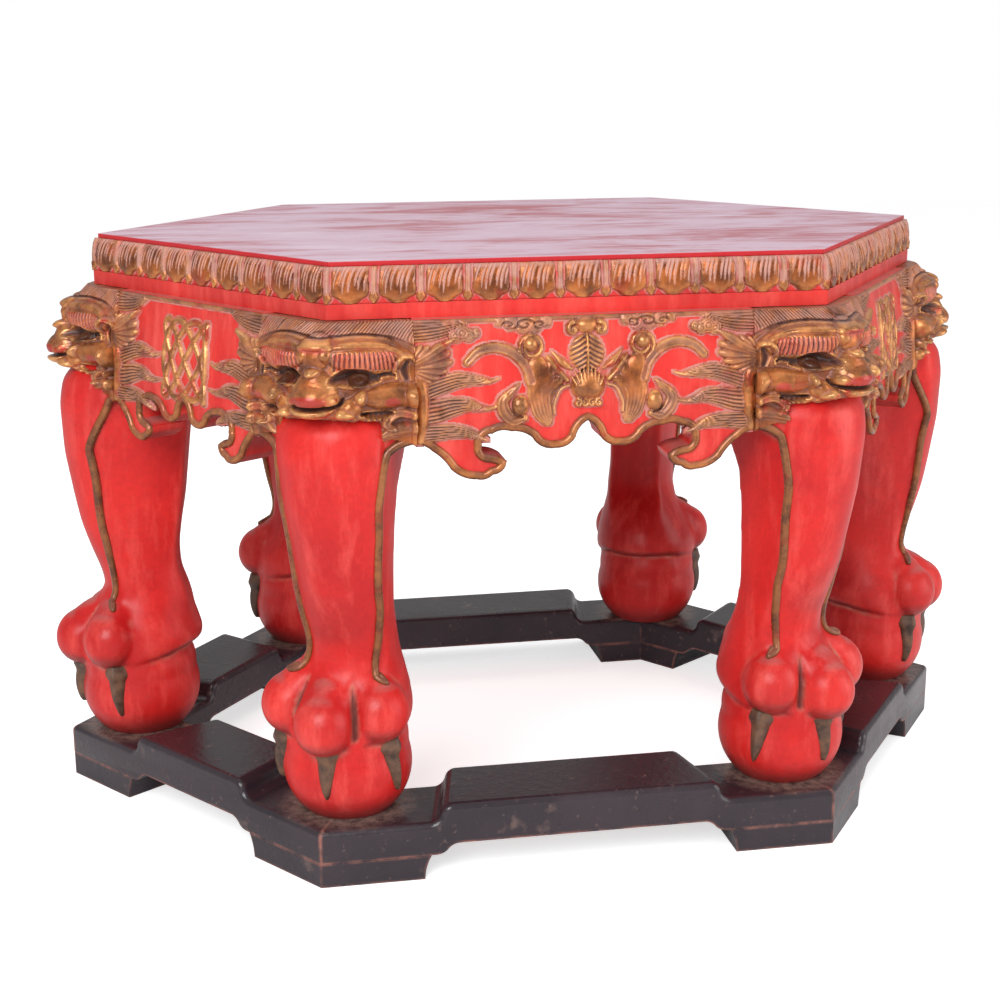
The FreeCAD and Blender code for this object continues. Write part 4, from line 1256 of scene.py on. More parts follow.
def leg_bead_mesh(name, corner, wing, reach, drift, leg, radius):
    """Gilt bead from the apron's seam along the wing and down the shin, laid on the leg's skin."""
    bm = bmesh.new()
    bm.from_mesh(leg)
    skin = BVHTree.FromBMesh(bm)
    bm.free()
    sine = math.sin(corner.half_angle)
    cosine = math.cos(corner.half_angle)
    lines = []
    for sign in (-1, 1):
        spots = []
        for bend in BEAD_BENDS:
            along = WING_KNEE_PLACE + (wing - WING_KNEE_PLACE) * bend
            level = wing_arch(bend) + BEAD_LIFT
            outset = float(face_outset(level))
            beside = along + outset / math.tan(corner.half_angle)
            spots.append(corner.place(outset / sine - beside * cosine, sign * beside * sine, level))
        for level in BEAD_LEVELS:
            outer, _, half = leg_station(level)
            share = np.interp(level, *BEAD_SHARE)
            fall = BEAD_FALL * half * share ** FRONT_CURVE
            out = reach(level) + outer - fall - np.interp(level, *BEAD_BACK)
            spots.append(corner.place(out, sign * (half * share + BEAD_ASIDE) + drift(level), level))
        end = spots[-1]
        for turn in BEAD_CURL_TURNS:
            size = BEAD_CURL - BEAD_CURL_CLOSING * turn
            curl = math.radians(turn)
            beside = sign * corner.along * (BEAD_CURL - size * math.cos(curl))
            spots.append(end + np.append(beside, -size * math.sin(curl)))
        laid = []
        for spot in spots:
            near = skin.find_nearest(Vector(spot) * MM)
            laid.append(np.array(near[0]) / MM + np.array(near[1]) * BEAD_PROUD)
        line = spline(laid, 4)
        lines.append((line, np.interp(np.linspace(0, 1, len(line)), *BEAD_THICKNESS)))
    return tube_mesh(name, lines, radius, BEAD_DARK)


# Petals

def petal_carving(half, count):
    """Row of hanging petals with fluted tops and ogee tips, and a dart between each and the next."""
    pitch = 2 * half / count
    unit = pitch / PETAL_PITCH
    carving = Carving((-half, half), (PETAL_LEVEL, LIP_LEVEL), PETAL_CELL, 0)
    place = (carving.a + half) / pitch
    number = np.floor(place)
    near = (place - number - 0.5) * pitch
    up = carving.z - PETAL_LEVEL
    wide = np.interp(up, *PETAL_OUTLINE) * unit
    inside = np.clip(1 - (near / wide) ** 2, 0, 1)
    body = inside ** 0.4 * np.interp(up, *PETAL_BODY)
    gap = pitch / 2 - np.abs(near)
    dart_half = np.interp(up, *DART_OUTLINE)
    dart = np.clip(1 - (gap / dart_half) ** 2, 0, 1) ** 0.5
    carving.height = np.where(dart > 0, -0.8 + 3.2 * dart - 0.7 * (gap < 0.7) * (up > 8), -0.8)
    carving.height = np.where(inside > 0, np.maximum(carving.height, -0.4 + 3.4 * body), carving.height)
    carving.gilt = np.where((inside > 0) | (dart > 0), 1.0, 0.0)
    # Flutes that taper to points at uneven heights
    for flute in range(7):
        lean = 0.10 * (up - 14) + 0.012 * (up - 14) ** 2
        middle = ((flute - 3) * 4.0 + 0.7 * np.sin(2.1 * flute + 1.7 * number)) * unit + lean
        drop = 9.5 + 3.0 * np.sin(1.9 * flute + 2.6 * number) + 0.35 * abs(flute - 3) ** 1.6
        thick = 1.05 * np.clip((up - drop) / 9, 0, 1) ** 0.7 + 1e-6
        cut = np.clip(1 - ((near - middle) / thick) ** 2, 0, 1) * (inside > 0.06)
        carving.height += 0.8 * cut
        carving.hair = np.maximum(carving.hair, np.clip(1.6 * cut, 0, 1))
    carving.hair = np.maximum(carving.hair, np.interp(up, (24.5, 27.5), (0, 0.75)))
    carving.hair = np.maximum(carving.hair, (dart > 0) * (inside <= 0) * np.interp(up, (7, 10), (0, 0.8)))
    # Pale line round the tips; painted shade in the gaps below their shoulders and along the petals' edges
    below = (inside <= 0) & (dart <= 0)
    edge = np.minimum(np.abs(near) - wide, gap - dart_half)
    carving.hair = np.where(below & (edge < 1.5), 0.95, carving.hair)
    carving.dark = np.where(below & (up > 7.4) & (edge > 0.4), 0.9, 0.0)
    carving.dark = np.maximum(carving.dark, 0.5 * (inside > 0) * np.clip(0.35 - inside, 0, 0.35) / 0.35)
    return carving


def petal_outset(level):
    """Outset of the moulding's face: a cove from the waist up to the lip."""
    share = (np.asarray(level) - PETAL_LEVEL) / (LIP_LEVEL - PETAL_LEVEL)
    return np.interp(share, *PETAL_COVE)


def petal_mesh(name, side, count):
    """Petal moulding of one side, mitred at both ends."""
    carving = petal_carving(side.half, count)
    tones = carving.tones(2, 0.8)
    tones[..., 1] = np.maximum(0.5 * tones[..., 1] * (carving.hair < 0.1), carving.hair)
    tones[..., 2] = carving.dark * (carving.hair < 0.5)
    shown = np.ones(carving.height.shape, bool)

    def place(along, level, height):
        outset = np.maximum(petal_outset(level) + height, PETAL_BED)
        stretch = 1 + outset * math.tan(PETAL_MITRE) / side.half
        return side.place(outset, along * stretch, level)

    return carved_mesh(name, carving, tones, shown, place, PETAL_BACK, side.out)


# Materials

def colour(red, green, blue):
    """Linear colour from screen values of 0 to 255."""
    values = [value / 255 for value in (red, green, blue)]
    return tuple(v / 12.92 if v <= 0.04045 else ((v + 0.055) / 1.055) ** 2.4 for v in values) + (1.0,)


class Nodes:
    """Short words for building a node tree."""

    def __init__(self, tree):
        self.tree = tree

    def feed(self, socket, value):
        """Links a socket to another, or sets its value."""
        if isinstance(value, bpy.types.NodeSocket):
            self.tree.links.new(value, socket)
        else:
            socket.default_value = value

    def maths(self, operation, first, second=0.0, clamp=False):
        """Result of a sum on two values or sockets."""
        node = self.tree.nodes.new("ShaderNodeMath")
        node.operation = operation
        node.use_clamp = clamp
        self.feed(node.inputs[0], first)
        self.feed(node.inputs[1], second)
        return node.outputs[0]

    def times(self, first, second, clamp=False):
        """Product of two values or sockets."""
        return self.maths("MULTIPLY", first, second, clamp)

    def mix(self, share, first, second):
        """Colour between two colours."""
        node = self.tree.nodes.new("ShaderNodeMix")
        node.data_type = "RGBA"
        self.feed(node.inputs["Factor"], share)
        self.feed(node.inputs[6], first)
        self.feed(node.inputs[7], second)
        return node.outputs[2]

    def ramp(self, value, low, high, first=0.0, last=1.0):
        """Value laid from one range onto another, and held at its ends."""
        node = self.tree.nodes.new("ShaderNodeMapRange")
        self.feed(node.inputs["Value"], value)
        for name, number in (("From Min", low), ("From Max", high), ("To Min", first), ("To Max", last)):
            node.inputs[name].default_value = number
        return node.outputs[0]

    def noise(self, place, scale, detail=4.0, rough=0.55, stretch=None, warp=0.0):
        """Noise between 0 and 1, drawn out along the axes where a stretch is given."""
        if stretch:
            turned = self.tree.nodes.new("ShaderNodeMapping")
            self.tree.links.new(place, turned.inputs["Vector"])
            turned.inputs["Scale"].default_value = stretch
            place = turned.outputs[0]
        node = self.tree.nodes.new("ShaderNodeTexNoise")
        self.tree.links.new(place, node.inputs["Vector"])
        self.feed(node.inputs["Scale"], scale)
        node.inputs["Detail"].default_value = detail
        node.inputs["Roughness"].default_value = rough
        node.inputs["Distortion"].default_value = warp
        return node.outputs[0]

    def axes(self, place):
        """Outputs for the three parts of a place or direction."""
        split = self.tree.nodes.new("ShaderNodeSeparateXYZ")
        self.tree.links.new(place, split.inputs[0])
        return split.outputs

    def upward(self):
        """How far the true face looks up: 1 on a level top, and -1 on a level underside."""
        face = self.tree.nodes.new("ShaderNodeNewGeometry")
        return self.axes(face.outputs["True Normal"])["Z"]

    def bump(self, height, strength, distance):
        """Normal bent by a height."""
        node = self.tree.nodes.new("ShaderNodeBump")
        node.inputs["Strength"].default_value = strength
        node.inputs["Distance"].default_value = distance
        self.tree.links.new(height, node.inputs["Height"])
        return node.outputs[0]


def mask_group(name, **values):
    """Empty shader group that takes a place and named values, and gives a mask."""
    group = bpy.data.node_groups.new(name, "ShaderNodeTree")
    group.interface.new_socket(name="Place", in_out="INPUT", socket_type="NodeSocketVector")
    for label, value in values.items():
        socket = group.interface.new_socket(name=label.title(), in_out="INPUT", socket_type="NodeSocketFloat")
        socket.default_value = value
    group.interface.new_socket(name="Mask", in_out="OUTPUT", socket_type="NodeSocketFloat")
    return group, Nodes(group), group.nodes.new("NodeGroupInput"), group.nodes.new("NodeGroupOutput")


def patchy_group():
    """Mask of worn or dusty patches: noise cut at a threshold with soft edges."""
    group, nodes, given, result = mask_group("patches", scale=20.0, cover=0.3, softness=0.1)
    coarse = nodes.noise(given.outputs["Place"], given.outputs["Scale"], 6.0, 0.62)
    edge = nodes.maths("SUBTRACT", 1.0, given.outputs["Cover"])
    over = nodes.maths("SUBTRACT", nodes.ramp(coarse, 0.25, 0.75), edge)
    mask = nodes.maths("DIVIDE", over, given.outputs["Softness"], clamp=True)
    group.links.new(mask, result.inputs["Mask"])
    return group


def edge_group():
    """Mask of the rubbed edges of a hard-edged piece."""
    group, nodes, given, result = mask_group("rubbed_edges", radius=0.003, scale=60.0, amount=1.0)
    rounded = group.nodes.new("ShaderNodeBevel")
    rounded.samples = 6
    group.links.new(given.outputs["Radius"], rounded.inputs["Radius"])
    plain = group.nodes.new("ShaderNodeNewGeometry")
    same = group.nodes.new("ShaderNodeVectorMath")
    same.operation = "DOT_PRODUCT"
    group.links.new(rounded.outputs[0], same.inputs[0])
    group.links.new(plain.outputs["Normal"], same.inputs[1])
    turn = nodes.ramp(same.outputs["Value"], 0.995, 0.86)
    noise = nodes.noise(given.outputs["Place"], given.outputs["Scale"], 5.0, 0.65)
    worn = nodes.times(turn, nodes.ramp(noise, 0.38, 0.58))
    mask = nodes.times(worn, given.outputs["Amount"], clamp=True)
    group.links.new(mask, result.inputs["Mask"])
    return group


def group_node(nodes, group, **values):
    """Mask that a group gives for these values of its inputs."""
    node = nodes.tree.nodes.new("ShaderNodeGroup")
    node.node_tree = group
    for key, value in values.items():
        nodes.feed(node.inputs[key.title()], value)
    return node.outputs[0]


def opaque(tone):
    """Colour setting with its alpha."""
    return tuple(tone) + (1,)


def new_material(name):
    """Material with its node helper, shader and object coordinates."""
    material = bpy.data.materials.new(name)
    material.use_nodes = True
    nodes = Nodes(material.node_tree)
    shader = material.node_tree.nodes["Principled BSDF"]
    place = material.node_tree.nodes.new("ShaderNodeTexCoord").outputs["Object"]
    return material, nodes, shader, place


def surface(nodes, shader, tone, rough, normal):
    """Feeds the colour, the roughness and the fine relief to a shader."""
    nodes.feed(shader.inputs["Base Color"], tone)
    nodes.feed(shader.inputs["Roughness"], rough)
    nodes.feed(shader.inputs["Normal"], normal)


def carving_layer(nodes):
    """Values for gilding, dust, dark (mostly painted shade) and crests (rubbed, with a painted highlight) of
    a carved mesh.
    """
    layer = nodes.tree.nodes.new("ShaderNodeAttribute")
    layer.attribute_name = "carving"
    split = nodes.tree.nodes.new("ShaderNodeSeparateColor")
    nodes.tree.links.new(layer.outputs["Color"], split.inputs[0])
    return split.outputs[0], split.outputs[1], split.outputs[2], layer.outputs["Alpha"]


def red_tone(nodes, place, looks):
    """Red lacquer with cloudy lighter and darker parts and fine upright rubbing."""
    cloud = nodes.noise(place, 9.0, 5.0, 0.6, warp=0.6)
    rubbed = nodes.noise(place, 30.0, 5.0, 0.65, stretch=(1.6, 1.6, 0.35))
    fine = nodes.noise(place, 240.0, 3.0, 0.6)
    red = nodes.mix(nodes.ramp(cloud, 0.36, 0.64), opaque(looks.red_deep), opaque(looks.red))
    red = nodes.mix(nodes.ramp(rubbed, 0.50, 0.70, 0, 0.5), red, opaque(looks.red_light))
    red = nodes.mix(nodes.ramp(fine, 0.35, 0.7, 0, 0.16), red, colour(130, 14, 20))
    return red, cloud, rubbed, fine


def ledge_masks(nodes, cloud):
    """Masks of the faces that look straight up, broken up by clouds, and of those that look down."""
    upward = nodes.upward()
    ledge = nodes.times(nodes.ramp(upward, 0.75, 0.95), nodes.ramp(cloud, 0.25, 0.5, 0.55, 1.0))
    return ledge, nodes.ramp(upward, -0.25, -0.6)


def red_material(looks, groups):
    """Red lacquer of the legs and boards, with grime, dust, pale ledges, dark undersides, painted shade in
    the legs' creases and a painted highlight on their bulges.
    """
    material, nodes, shader, place = new_material("red_lacquer")
    red, cloud, rubbed, fine = red_tone(nodes, place, looks)
    dust, dark, crest_and_highlight = carving_layer(nodes)[1:]
    grime = group_node(nodes, groups["patches"], place=place, scale=45.0, cover=0.06, softness=0.12)
    red = nodes.mix(nodes.times(grime, 0.5), red, colour(96, 34, 34))
    powder = nodes.times(dust, nodes.ramp(nodes.noise(place, 70.0, 4.0), 0.3, 0.62))
    red = nodes.mix(nodes.times(powder, 0.75), red, colour(196, 128, 112))
    ledge, under = ledge_masks(nodes, cloud)
    red = nodes.mix(nodes.times(ledge, 0.8), red, colour(168, 120, 116))
    red = nodes.mix(nodes.times(under, 0.6), red, colour(92, 40, 40))
    # Painted shade in the creases.
    red = nodes.mix(nodes.times(dark, 0.85), red, colour(70, 18, 18))
    # Bulges rubbed lighter, partly as a painted highlight.
    red = nodes.mix(nodes.times(crest_and_highlight, nodes.ramp(rubbed, 0.4, 0.7, 0.1, 0.5)), red,
                    colour(235, 96, 84))
    rough = nodes.maths("ADD", nodes.ramp(cloud, 0.3, 0.7, 0.32, 0.46), nodes.times(powder, 0.35))
    height = nodes.maths("ADD", nodes.times(rubbed, 0.7), nodes.times(fine, 0.25))
    surface(nodes, shader, red, rough, nodes.bump(height, 0.35, 0.0012))
    shader.inputs["Specular IOR Level"].default_value = 0.32
    return material


def gilt_material(looks, groups):
    """Old gilding over red, dusty in the cuts and browned there by painted shade, and bright on the crests,
    where it is rubbed and carries a painted highlight.
    """
    material, nodes, shader, place = new_material("gilt_carving")
    gilt, dust, dark, crest_and_highlight = carving_layer(nodes)
    red, _, _, fine = red_tone(nodes, place, looks)
    blotch = nodes.noise(place, 55.0, 5.0, 0.62)
    gold = nodes.mix(nodes.ramp(blotch, 0.36, 0.62), opaque(looks.gilt_deep), opaque(looks.gilt))
    # Light gilt on the crests: rubbed gilding and a painted highlight.
    gold = nodes.mix(nodes.times(crest_and_highlight, nodes.ramp(blotch, 0.3, 0.6, 0.2, 0.85)), gold,
                     opaque(looks.gilt_rubbed_and_highlight))
    worn = group_node(nodes, groups["patches"], place=place, scale=38.0, cover=0.36, softness=0.10)
    bare = nodes.times(worn, nodes.maths("ADD", nodes.times(crest_and_highlight, 0.6), 0.35))
    gold = nodes.mix(bare, gold, colour(178, 44, 34))
    gold = nodes.mix(nodes.ramp(fine, 0.4, 0.75, 0, 0.30), gold, colour(86, 44, 24))
    tone = nodes.mix(gilt, red, gold)
    powder = nodes.times(dust, nodes.ramp(nodes.noise(place, 90.0, 4.0), 0.25, 0.55), clamp=True)
    tone = nodes.mix(nodes.times(powder, 0.85), tone, opaque(looks.dust))
    # Painted shade in the cuts and hollows.
    tone = nodes.mix(nodes.times(dark, 0.95), tone, colour(48, 22, 18))
    shine = nodes.times(gilt, nodes.maths("SUBTRACT", 1.0, nodes.maths("ADD", powder, dark), clamp=True))
    nodes.feed(shader.inputs["Metallic"], nodes.times(shine, 0.5))
    rough = nodes.maths("ADD", nodes.ramp(blotch, 0.3, 0.7, 0.2, 0.38), nodes.times(powder, 0.4))
    height = nodes.maths("ADD", blotch, nodes.times(fine, 0.4))
    surface(nodes, shader, tone, rough, nodes.bump(height, 0.4, 0.0012))
    return material


def top_material():
    """Red top under a pale haze with long streaks, plain red on its edge."""
    material, nodes, shader, place = new_material("top_lacquer")
    streak = nodes.noise(place, 7.0, 8.0, 0.66, stretch=(0.55, 2.0, 1.0), warp=1.1)
    fine = nodes.noise(place, 34.0, 6.0, 0.7, stretch=(0.4, 2.2, 1.0), warp=0.8)
    broad = nodes.noise(place, 3.4, 3.0, 0.5)
    haze = nodes.maths("ADD", nodes.times(streak, 0.62), nodes.times(fine, 0.38))
    haze = nodes.maths("ADD", haze, nodes.ramp(broad, 0.3, 0.7, -0.05, 0.07))
    tone = nodes.mix(nodes.ramp(haze, 0.41, 0.53), colour(186, 84, 98), colour(214, 182, 198))
    tone = nodes.mix(nodes.ramp(streak, 0.62, 0.70, 0, 0.8), tone, colour(190, 74, 88))
    # Near-white patches at the palest haze: a painted highlight over the worn haze.
    tone = nodes.mix(nodes.ramp(haze, 0.57, 0.68, 0, 0.8), tone, colour(232, 220, 232))
    side = nodes.ramp(nodes.upward(), 0.97, 0.80)
    tone = nodes.mix(side, tone, nodes.mix(fine, colour(206, 34, 40), colour(172, 22, 32)))
    surface(nodes, shader, tone, nodes.ramp(haze, 0.35, 0.65, 0.26, 0.42), nodes.bump(haze, 0.2, 0.001))
    return material


def ball_rings(nodes, place):
    """Mask of the dust that lies round the balls on the base ring."""
    axes = nodes.axes(place)
    flat = nodes.tree.nodes.new("ShaderNodeCombineXYZ")
    for number in range(2):
        nodes.feed(flat.inputs[number], nodes.maths("ABSOLUTE", axes[number]))
    nearest = 1.0
    for corner in RING_CORNERS.values():
        axis = np.abs(corner.place(-BALL_INSET, 0, 0)[:2]) * MM
        far = nodes.tree.nodes.new("ShaderNodeVectorMath")
        far.operation = "DISTANCE"
        nodes.feed(far.inputs[0], flat.outputs[0])
        far.inputs[1].default_value = (axis[0], axis[1], 0)
        nearest = nodes.maths("MINIMUM", far.outputs["Value"], nearest)
    return nodes.times(nodes.ramp(nearest, 0.047, 0.062, 1.0, 0.0), nodes.ramp(nodes.upward(), 0.6, 0.9))


def black_material(looks, groups):
    """Black brown lacquer, rubbed to wood and red ground along its edges."""
    material, nodes, shader, place = new_material("black_lacquer")
    cloud = nodes.noise(place, 12.0, 5.0, 0.6, warp=0.4)
    fine = nodes.noise(place, 120.0, 5.0, 0.7)
    tone = nodes.mix(nodes.ramp(cloud, 0.35, 0.65), opaque(looks.black), colour(56, 46, 52))
    scuff = group_node(nodes, groups["patches"], place=place, scale=30.0, cover=0.26, softness=0.22)
    tone = nodes.mix(nodes.times(scuff, 0.55), tone, colour(124, 100, 94))
    worn = group_node(nodes, groups["edges"], place=place, radius=0.004, scale=55.0, amount=1.0)
    tone = nodes.mix(nodes.times(worn, 0.9), tone, opaque(looks.worn_edge))
    tone = nodes.mix(nodes.ramp(fine, 0.62, 0.72, 0, 0.45), tone, colour(150, 118, 106))
    dusty = nodes.times(ball_rings(nodes, place), nodes.ramp(fine, 0.35, 0.6, 0.15, 1.0))
    tone = nodes.mix(nodes.times(dusty, 0.75), tone, colour(150, 124, 112))
    rough = nodes.maths("ADD", nodes.ramp(cloud, 0.3, 0.7, 0.16, 0.34), nodes.times(worn, 0.3))
    surface(nodes, shader, tone, rough, nodes.bump(nodes.maths("ADD", cloud, fine), 0.4, 0.0012))
    return material


def claw_material(groups):
    """Dark brown claws, rubbed pale along their ridges."""
    material, nodes, shader, place = new_material("dark_claw")
    blotch = nodes.noise(place, 80.0, 5.0, 0.6)
    tone = nodes.mix(nodes.ramp(blotch, 0.35, 0.65), colour(56, 38, 30), colour(116, 82, 60))
    worn = group_node(nodes, groups["edges"], place=place, radius=0.0015, scale=120.0, amount=0.9)
    tone = nodes.mix(worn, tone, colour(198, 156, 132))
    surface(nodes, shader, tone, nodes.ramp(blotch, 0.3, 0.7, 0.4, 0.6), nodes.bump(blotch, 0.3, 0.001))
    return material


def wood_material():
    """Bare wood of the hidden joints and battens."""
    material, nodes, shader, place = new_material("bare_wood")
    grain = nodes.noise(place, 30.0, 6.0, 0.65, stretch=(0.3, 3.0, 3.0), warp=0.5)
    tone = nodes.mix(nodes.ramp(grain, 0.3, 0.7), colour(120, 84, 56), colour(176, 134, 96))
    surface(nodes, shader, tone, nodes.ramp(grain, 0.3, 0.7, 0.6, 0.75), nodes.bump(grain, 0.3, 0.001))
    return material


def rim_outset(point):
    """How far a place stands outside the rim of the top, in millimetres."""
    spot = np.array((-abs(point.x), -abs(point.y))) / MM
    sides = RIM_SIDES["front"], RIM_SIDES["front_left"]
    return max(float((spot - side.middle) @ side.out) for side in sides)


def eased_copy(node, width, segments, least_outset=-math.inf):
    """Merged copy of a CAD node's mesh with its hard edges rounded, or only those near the rim."""
    bm = bmesh.new()
    bm.from_mesh(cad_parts[node].data)
    bmesh.ops.remove_doubles(bm, verts=bm.verts, dist=2e-6)
    bmesh.ops.dissolve_limit(bm, angle_limit=math.radians(0.6), use_dissolve_boundaries=False,
                             verts=bm.verts, edges=bm.edges)
    hard = [edge for edge in bm.edges if edge.is_manifold and edge.calc_face_angle() > HARD_EDGE
            and min(rim_outset(vert.co) for vert in edge.verts) > least_outset]
    bmesh.ops.bevel(bm, geom=hard, offset=width * MM, segments=segments, profile=0.5, affect="EDGES",
                    material=-1, clamp_overlap=True)
    bmesh.ops.recalc_face_normals(bm, faces=bm.faces)
    return finished_mesh(bm, node + "_eased", smooth=False)


def plain_nodes(material, *starts):
    """Gives CAD nodes whose names start so their material."""
    for name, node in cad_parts.items():
        if name.startswith(starts):
            node.data.materials.clear()
            node.data.materials.append(material)


# Settings

class TableColours(bpy.types.PropertyGroup):
    """Colours of the finishes, as linear values."""
    red: FloatVectorProperty(name="Red", description="Main red of the lacquer", subtype="COLOR",
                             size=3, min=0, max=1, default=colour(226, 42, 37)[:3])
    red_deep: FloatVectorProperty(name="Deep red", description="Darker clouds in the lacquer",
                                  subtype="COLOR", size=3, min=0, max=1, default=colour(192, 28, 29)[:3])
    red_light: FloatVectorProperty(name="Rubbed red", description="Lighter rubbed streaks", subtype="COLOR",
                                   size=3, min=0, max=1, default=colour(242, 92, 84)[:3])
    gilt: FloatVectorProperty(name="Gilt", description="Main colour of the old gilding", subtype="COLOR",
                              size=3, min=0, max=1, default=colour(190, 102, 44)[:3])
    gilt_deep: FloatVectorProperty(name="Deep gilt", description="Browned gilding", subtype="COLOR",
                                   size=3, min=0, max=1, default=colour(112, 56, 30)[:3])
    # Light gilt of the crests: rubbed gilding, and also a painted highlight.
    gilt_rubbed_and_highlight: FloatVectorProperty(name="Light gilt", description="Rubbed crests of the gilding",
                                    subtype="COLOR", size=3, min=0, max=1, default=colour(248, 186, 118)[:3])
    dust: FloatVectorProperty(name="Dust", description="Pale dust in the cuts", subtype="COLOR",
                              size=3, min=0, max=1, default=colour(200, 150, 140)[:3])
    black: FloatVectorProperty(name="Black", description="Main tone of the base", subtype="COLOR",
                               size=3, min=0, max=1, default=colour(44, 38, 44)[:3])
    worn_edge: FloatVectorProperty(name="Worn edge", description="Wood and red ground on rubbed edges",
                                   subtype="COLOR", size=3, min=0, max=1, default=colour(164, 106, 92)[:3])


class TableSizes(bpy.types.PropertyGroup):
    """Sizes of the details, and the power of the main lamp."""
    bead_radius: FloatProperty(name="Bead radius", description="Radius of the gilt beads in millimetres",
                               default=3.4, min=1, max=6)
    leg_skin: FloatProperty(name="Leg skin", description="Mesh size of the legs in millimetres",
                            default=2.4, min=1.5, max=6)
    edge_rounding: FloatProperty(name="Edge rounding", default=1.8, min=0.2, max=4,
                                 description="Rounding of the base ring's edges in millimetres")
    key_power: FloatProperty(name="Key lamp power", description="Power of the main lamp", default=76.0,
                             min=0, unit="POWER")


MATERIALS = {}


def material_of(name):
    """Finish that the first operator has made."""
    if name not in MATERIALS:
        raise RuntimeError("material " + name + " hasn't been made yet")
    return MATERIALS[name]


# Operators

class TABLE_OT_finishes(bpy.types.Operator):
    """Make the materials of the table"""
    bl_idname = "lacquer_table.finishes"
    bl_label = "Finishes"

    def execute(self, context):
        looks = context.scene.table_colours
        groups = {"patches": patchy_group(), "edges": edge_group()}
        MATERIALS["red"] = red_material(looks, groups)
        MATERIALS["gilt"] = gilt_material(looks, groups)
        MATERIALS["top"] = top_material()
        MATERIALS["black"] = black_material(looks, groups)
        MATERIALS["claw"] = claw_material(groups)
        MATERIALS["wood"] = wood_material()
        return {"FINISHED"}


class TABLE_OT_top(bpy.types.Operator):
    """Make the rails of the top, and finish its boards, its battens and the hidden joints"""
    bl_idname = "lacquer_table.top"
    bl_label = "Top"

    def execute(self, context):
        plain_nodes(material_of("top"), "top_board")
        plain_nodes(material_of("wood"), "top_batten", "top_mitre", "base_mitre", "apron_tenons", "foot_pegs")
        for name, *_ in SIDES:
            mesh = eased_copy("top_rail_" + name, LIP_ROUNDING, 2, least_outset=-1.0)
            new_piece("rail_of_top_" + name, mesh, material_of("top"), "top_lacquer", "top_rail_" + name)
        return {"FINISHED"}


class TABLE_OT_petals(bpy.types.Operator):
    """Make the petal mouldings under the top"""
    bl_idname = "lacquer_table.petals"
    bl_label = "Petals"

    def execute(self, context):
        shapes = {name: petal_mesh("petals_" + name + "_shape", RIM_SIDES[name], count)
                  for name, count in PETALS.items()}
        copy_round("petals", shapes, SIDES, material_of("gilt"), "gilt", "petal_moulding")
        return {"FINISHED"}


class TABLE_OT_aprons(bpy.types.Operator):
    """Make the carving and the beads on the aprons, and finish the boards"""
    bl_idname = "lacquer_table.aprons"
    bl_label = "Aprons"

    def execute(self, context):
        radius = context.scene.table_sizes.bead_radius
        plain_nodes(material_of("red"), "apron_front", "apron_back", "waist_board")
        shapes = {}
        for name, carving, half, shift in (("front", long_apron_carving(), LONG_APRON_HALF, 0.0),
                                           ("front_left", short_apron_carving(), SHORT_APRON_HALF,
                                            SHORT_APRON_SHIFT)):
            shapes[name] = apron_piece_mesh("carving_" + name + "_shape", RIM_SIDES[name], carving, half,
                                            shift, radius)
        copy_round("carving", shapes, SIDES, material_of("gilt"), "gilt")
        return {"FINISHED"}


class TABLE_OT_masks(bpy.types.Operator):
    """Make the lion masks"""
    bl_idname = "lacquer_table.masks"
    bl_label = "Masks"

    def execute(self, context):
        carving = mask_carving()
        tones = carving.tones(2, 1.0)
        shown = carving.z > np.interp(np.abs(carving.a), *zip(*MASK_CHIN))
        shapes = {}
        for name, corner in RIM_CORNERS.items():
            place = mask_place(corner, WING[name])
            shapes[name] = carved_mesh("mask_" + name + "_shape", carving, tones, shown, place, MASK_BACK,
                                       corner.out)
        copy_round("mask", shapes, CORNERS, material_of("gilt"), "gilt")
        return {"FINISHED"}


class TABLE_OT_legs(bpy.types.Operator):
    """Make the legs, their beads and their claws"""
    bl_idname = "lacquer_table.legs"
    bl_label = "Legs"

    def execute(self, context):
        sizes = context.scene.table_sizes
        legs, beads, claws = {}, {}, {}
        for name, corner in RIM_CORNERS.items():
            ring_corner = RING_CORNERS[name]
            legs[name] = leg_mesh("leg_" + name + "_shape", corner, ring_corner, WING[name], LEG_SQUARE[name],
                                  sizes.leg_skin)
            beads[name] = leg_bead_mesh("bead_" + name + "_shape", corner, WING[name],
                                        leg_reach(corner, ring_corner), leg_drift(corner, ring_corner),
                                        legs[name], sizes.bead_radius)
            claws[name] = claw_mesh("claw_" + name + "_shape", ring_corner)
        copy_round("red_leg", legs, CORNERS, material_of("red"), "red_lacquer", "leg")
        copy_round("leg_bead", beads, CORNERS, material_of("gilt"), "gilt")
        copy_round("claws", claws, CORNERS, material_of("claw"), "gilt")
        return {"FINISHED"}


class TABLE_OT_base(bpy.types.Operator):
    """Make the base ring and its foot blocks"""
    bl_idname = "lacquer_table.base"
    bl_label = "Base ring"

    def execute(self, context):
        width = context.scene.table_sizes.edge_rounding
        for places, piece, node in ((SIDES, "ring_rail_", "base_rail_"),
                                    (CORNERS, "ring_foot_", "foot_block_")):
            for name, *_ in places:
                mesh = eased_copy(node + name, width, 3)
                new_piece(piece + name, mesh, material_of("black"), "black_lacquer", node + name)
        return {"FINISHED"}


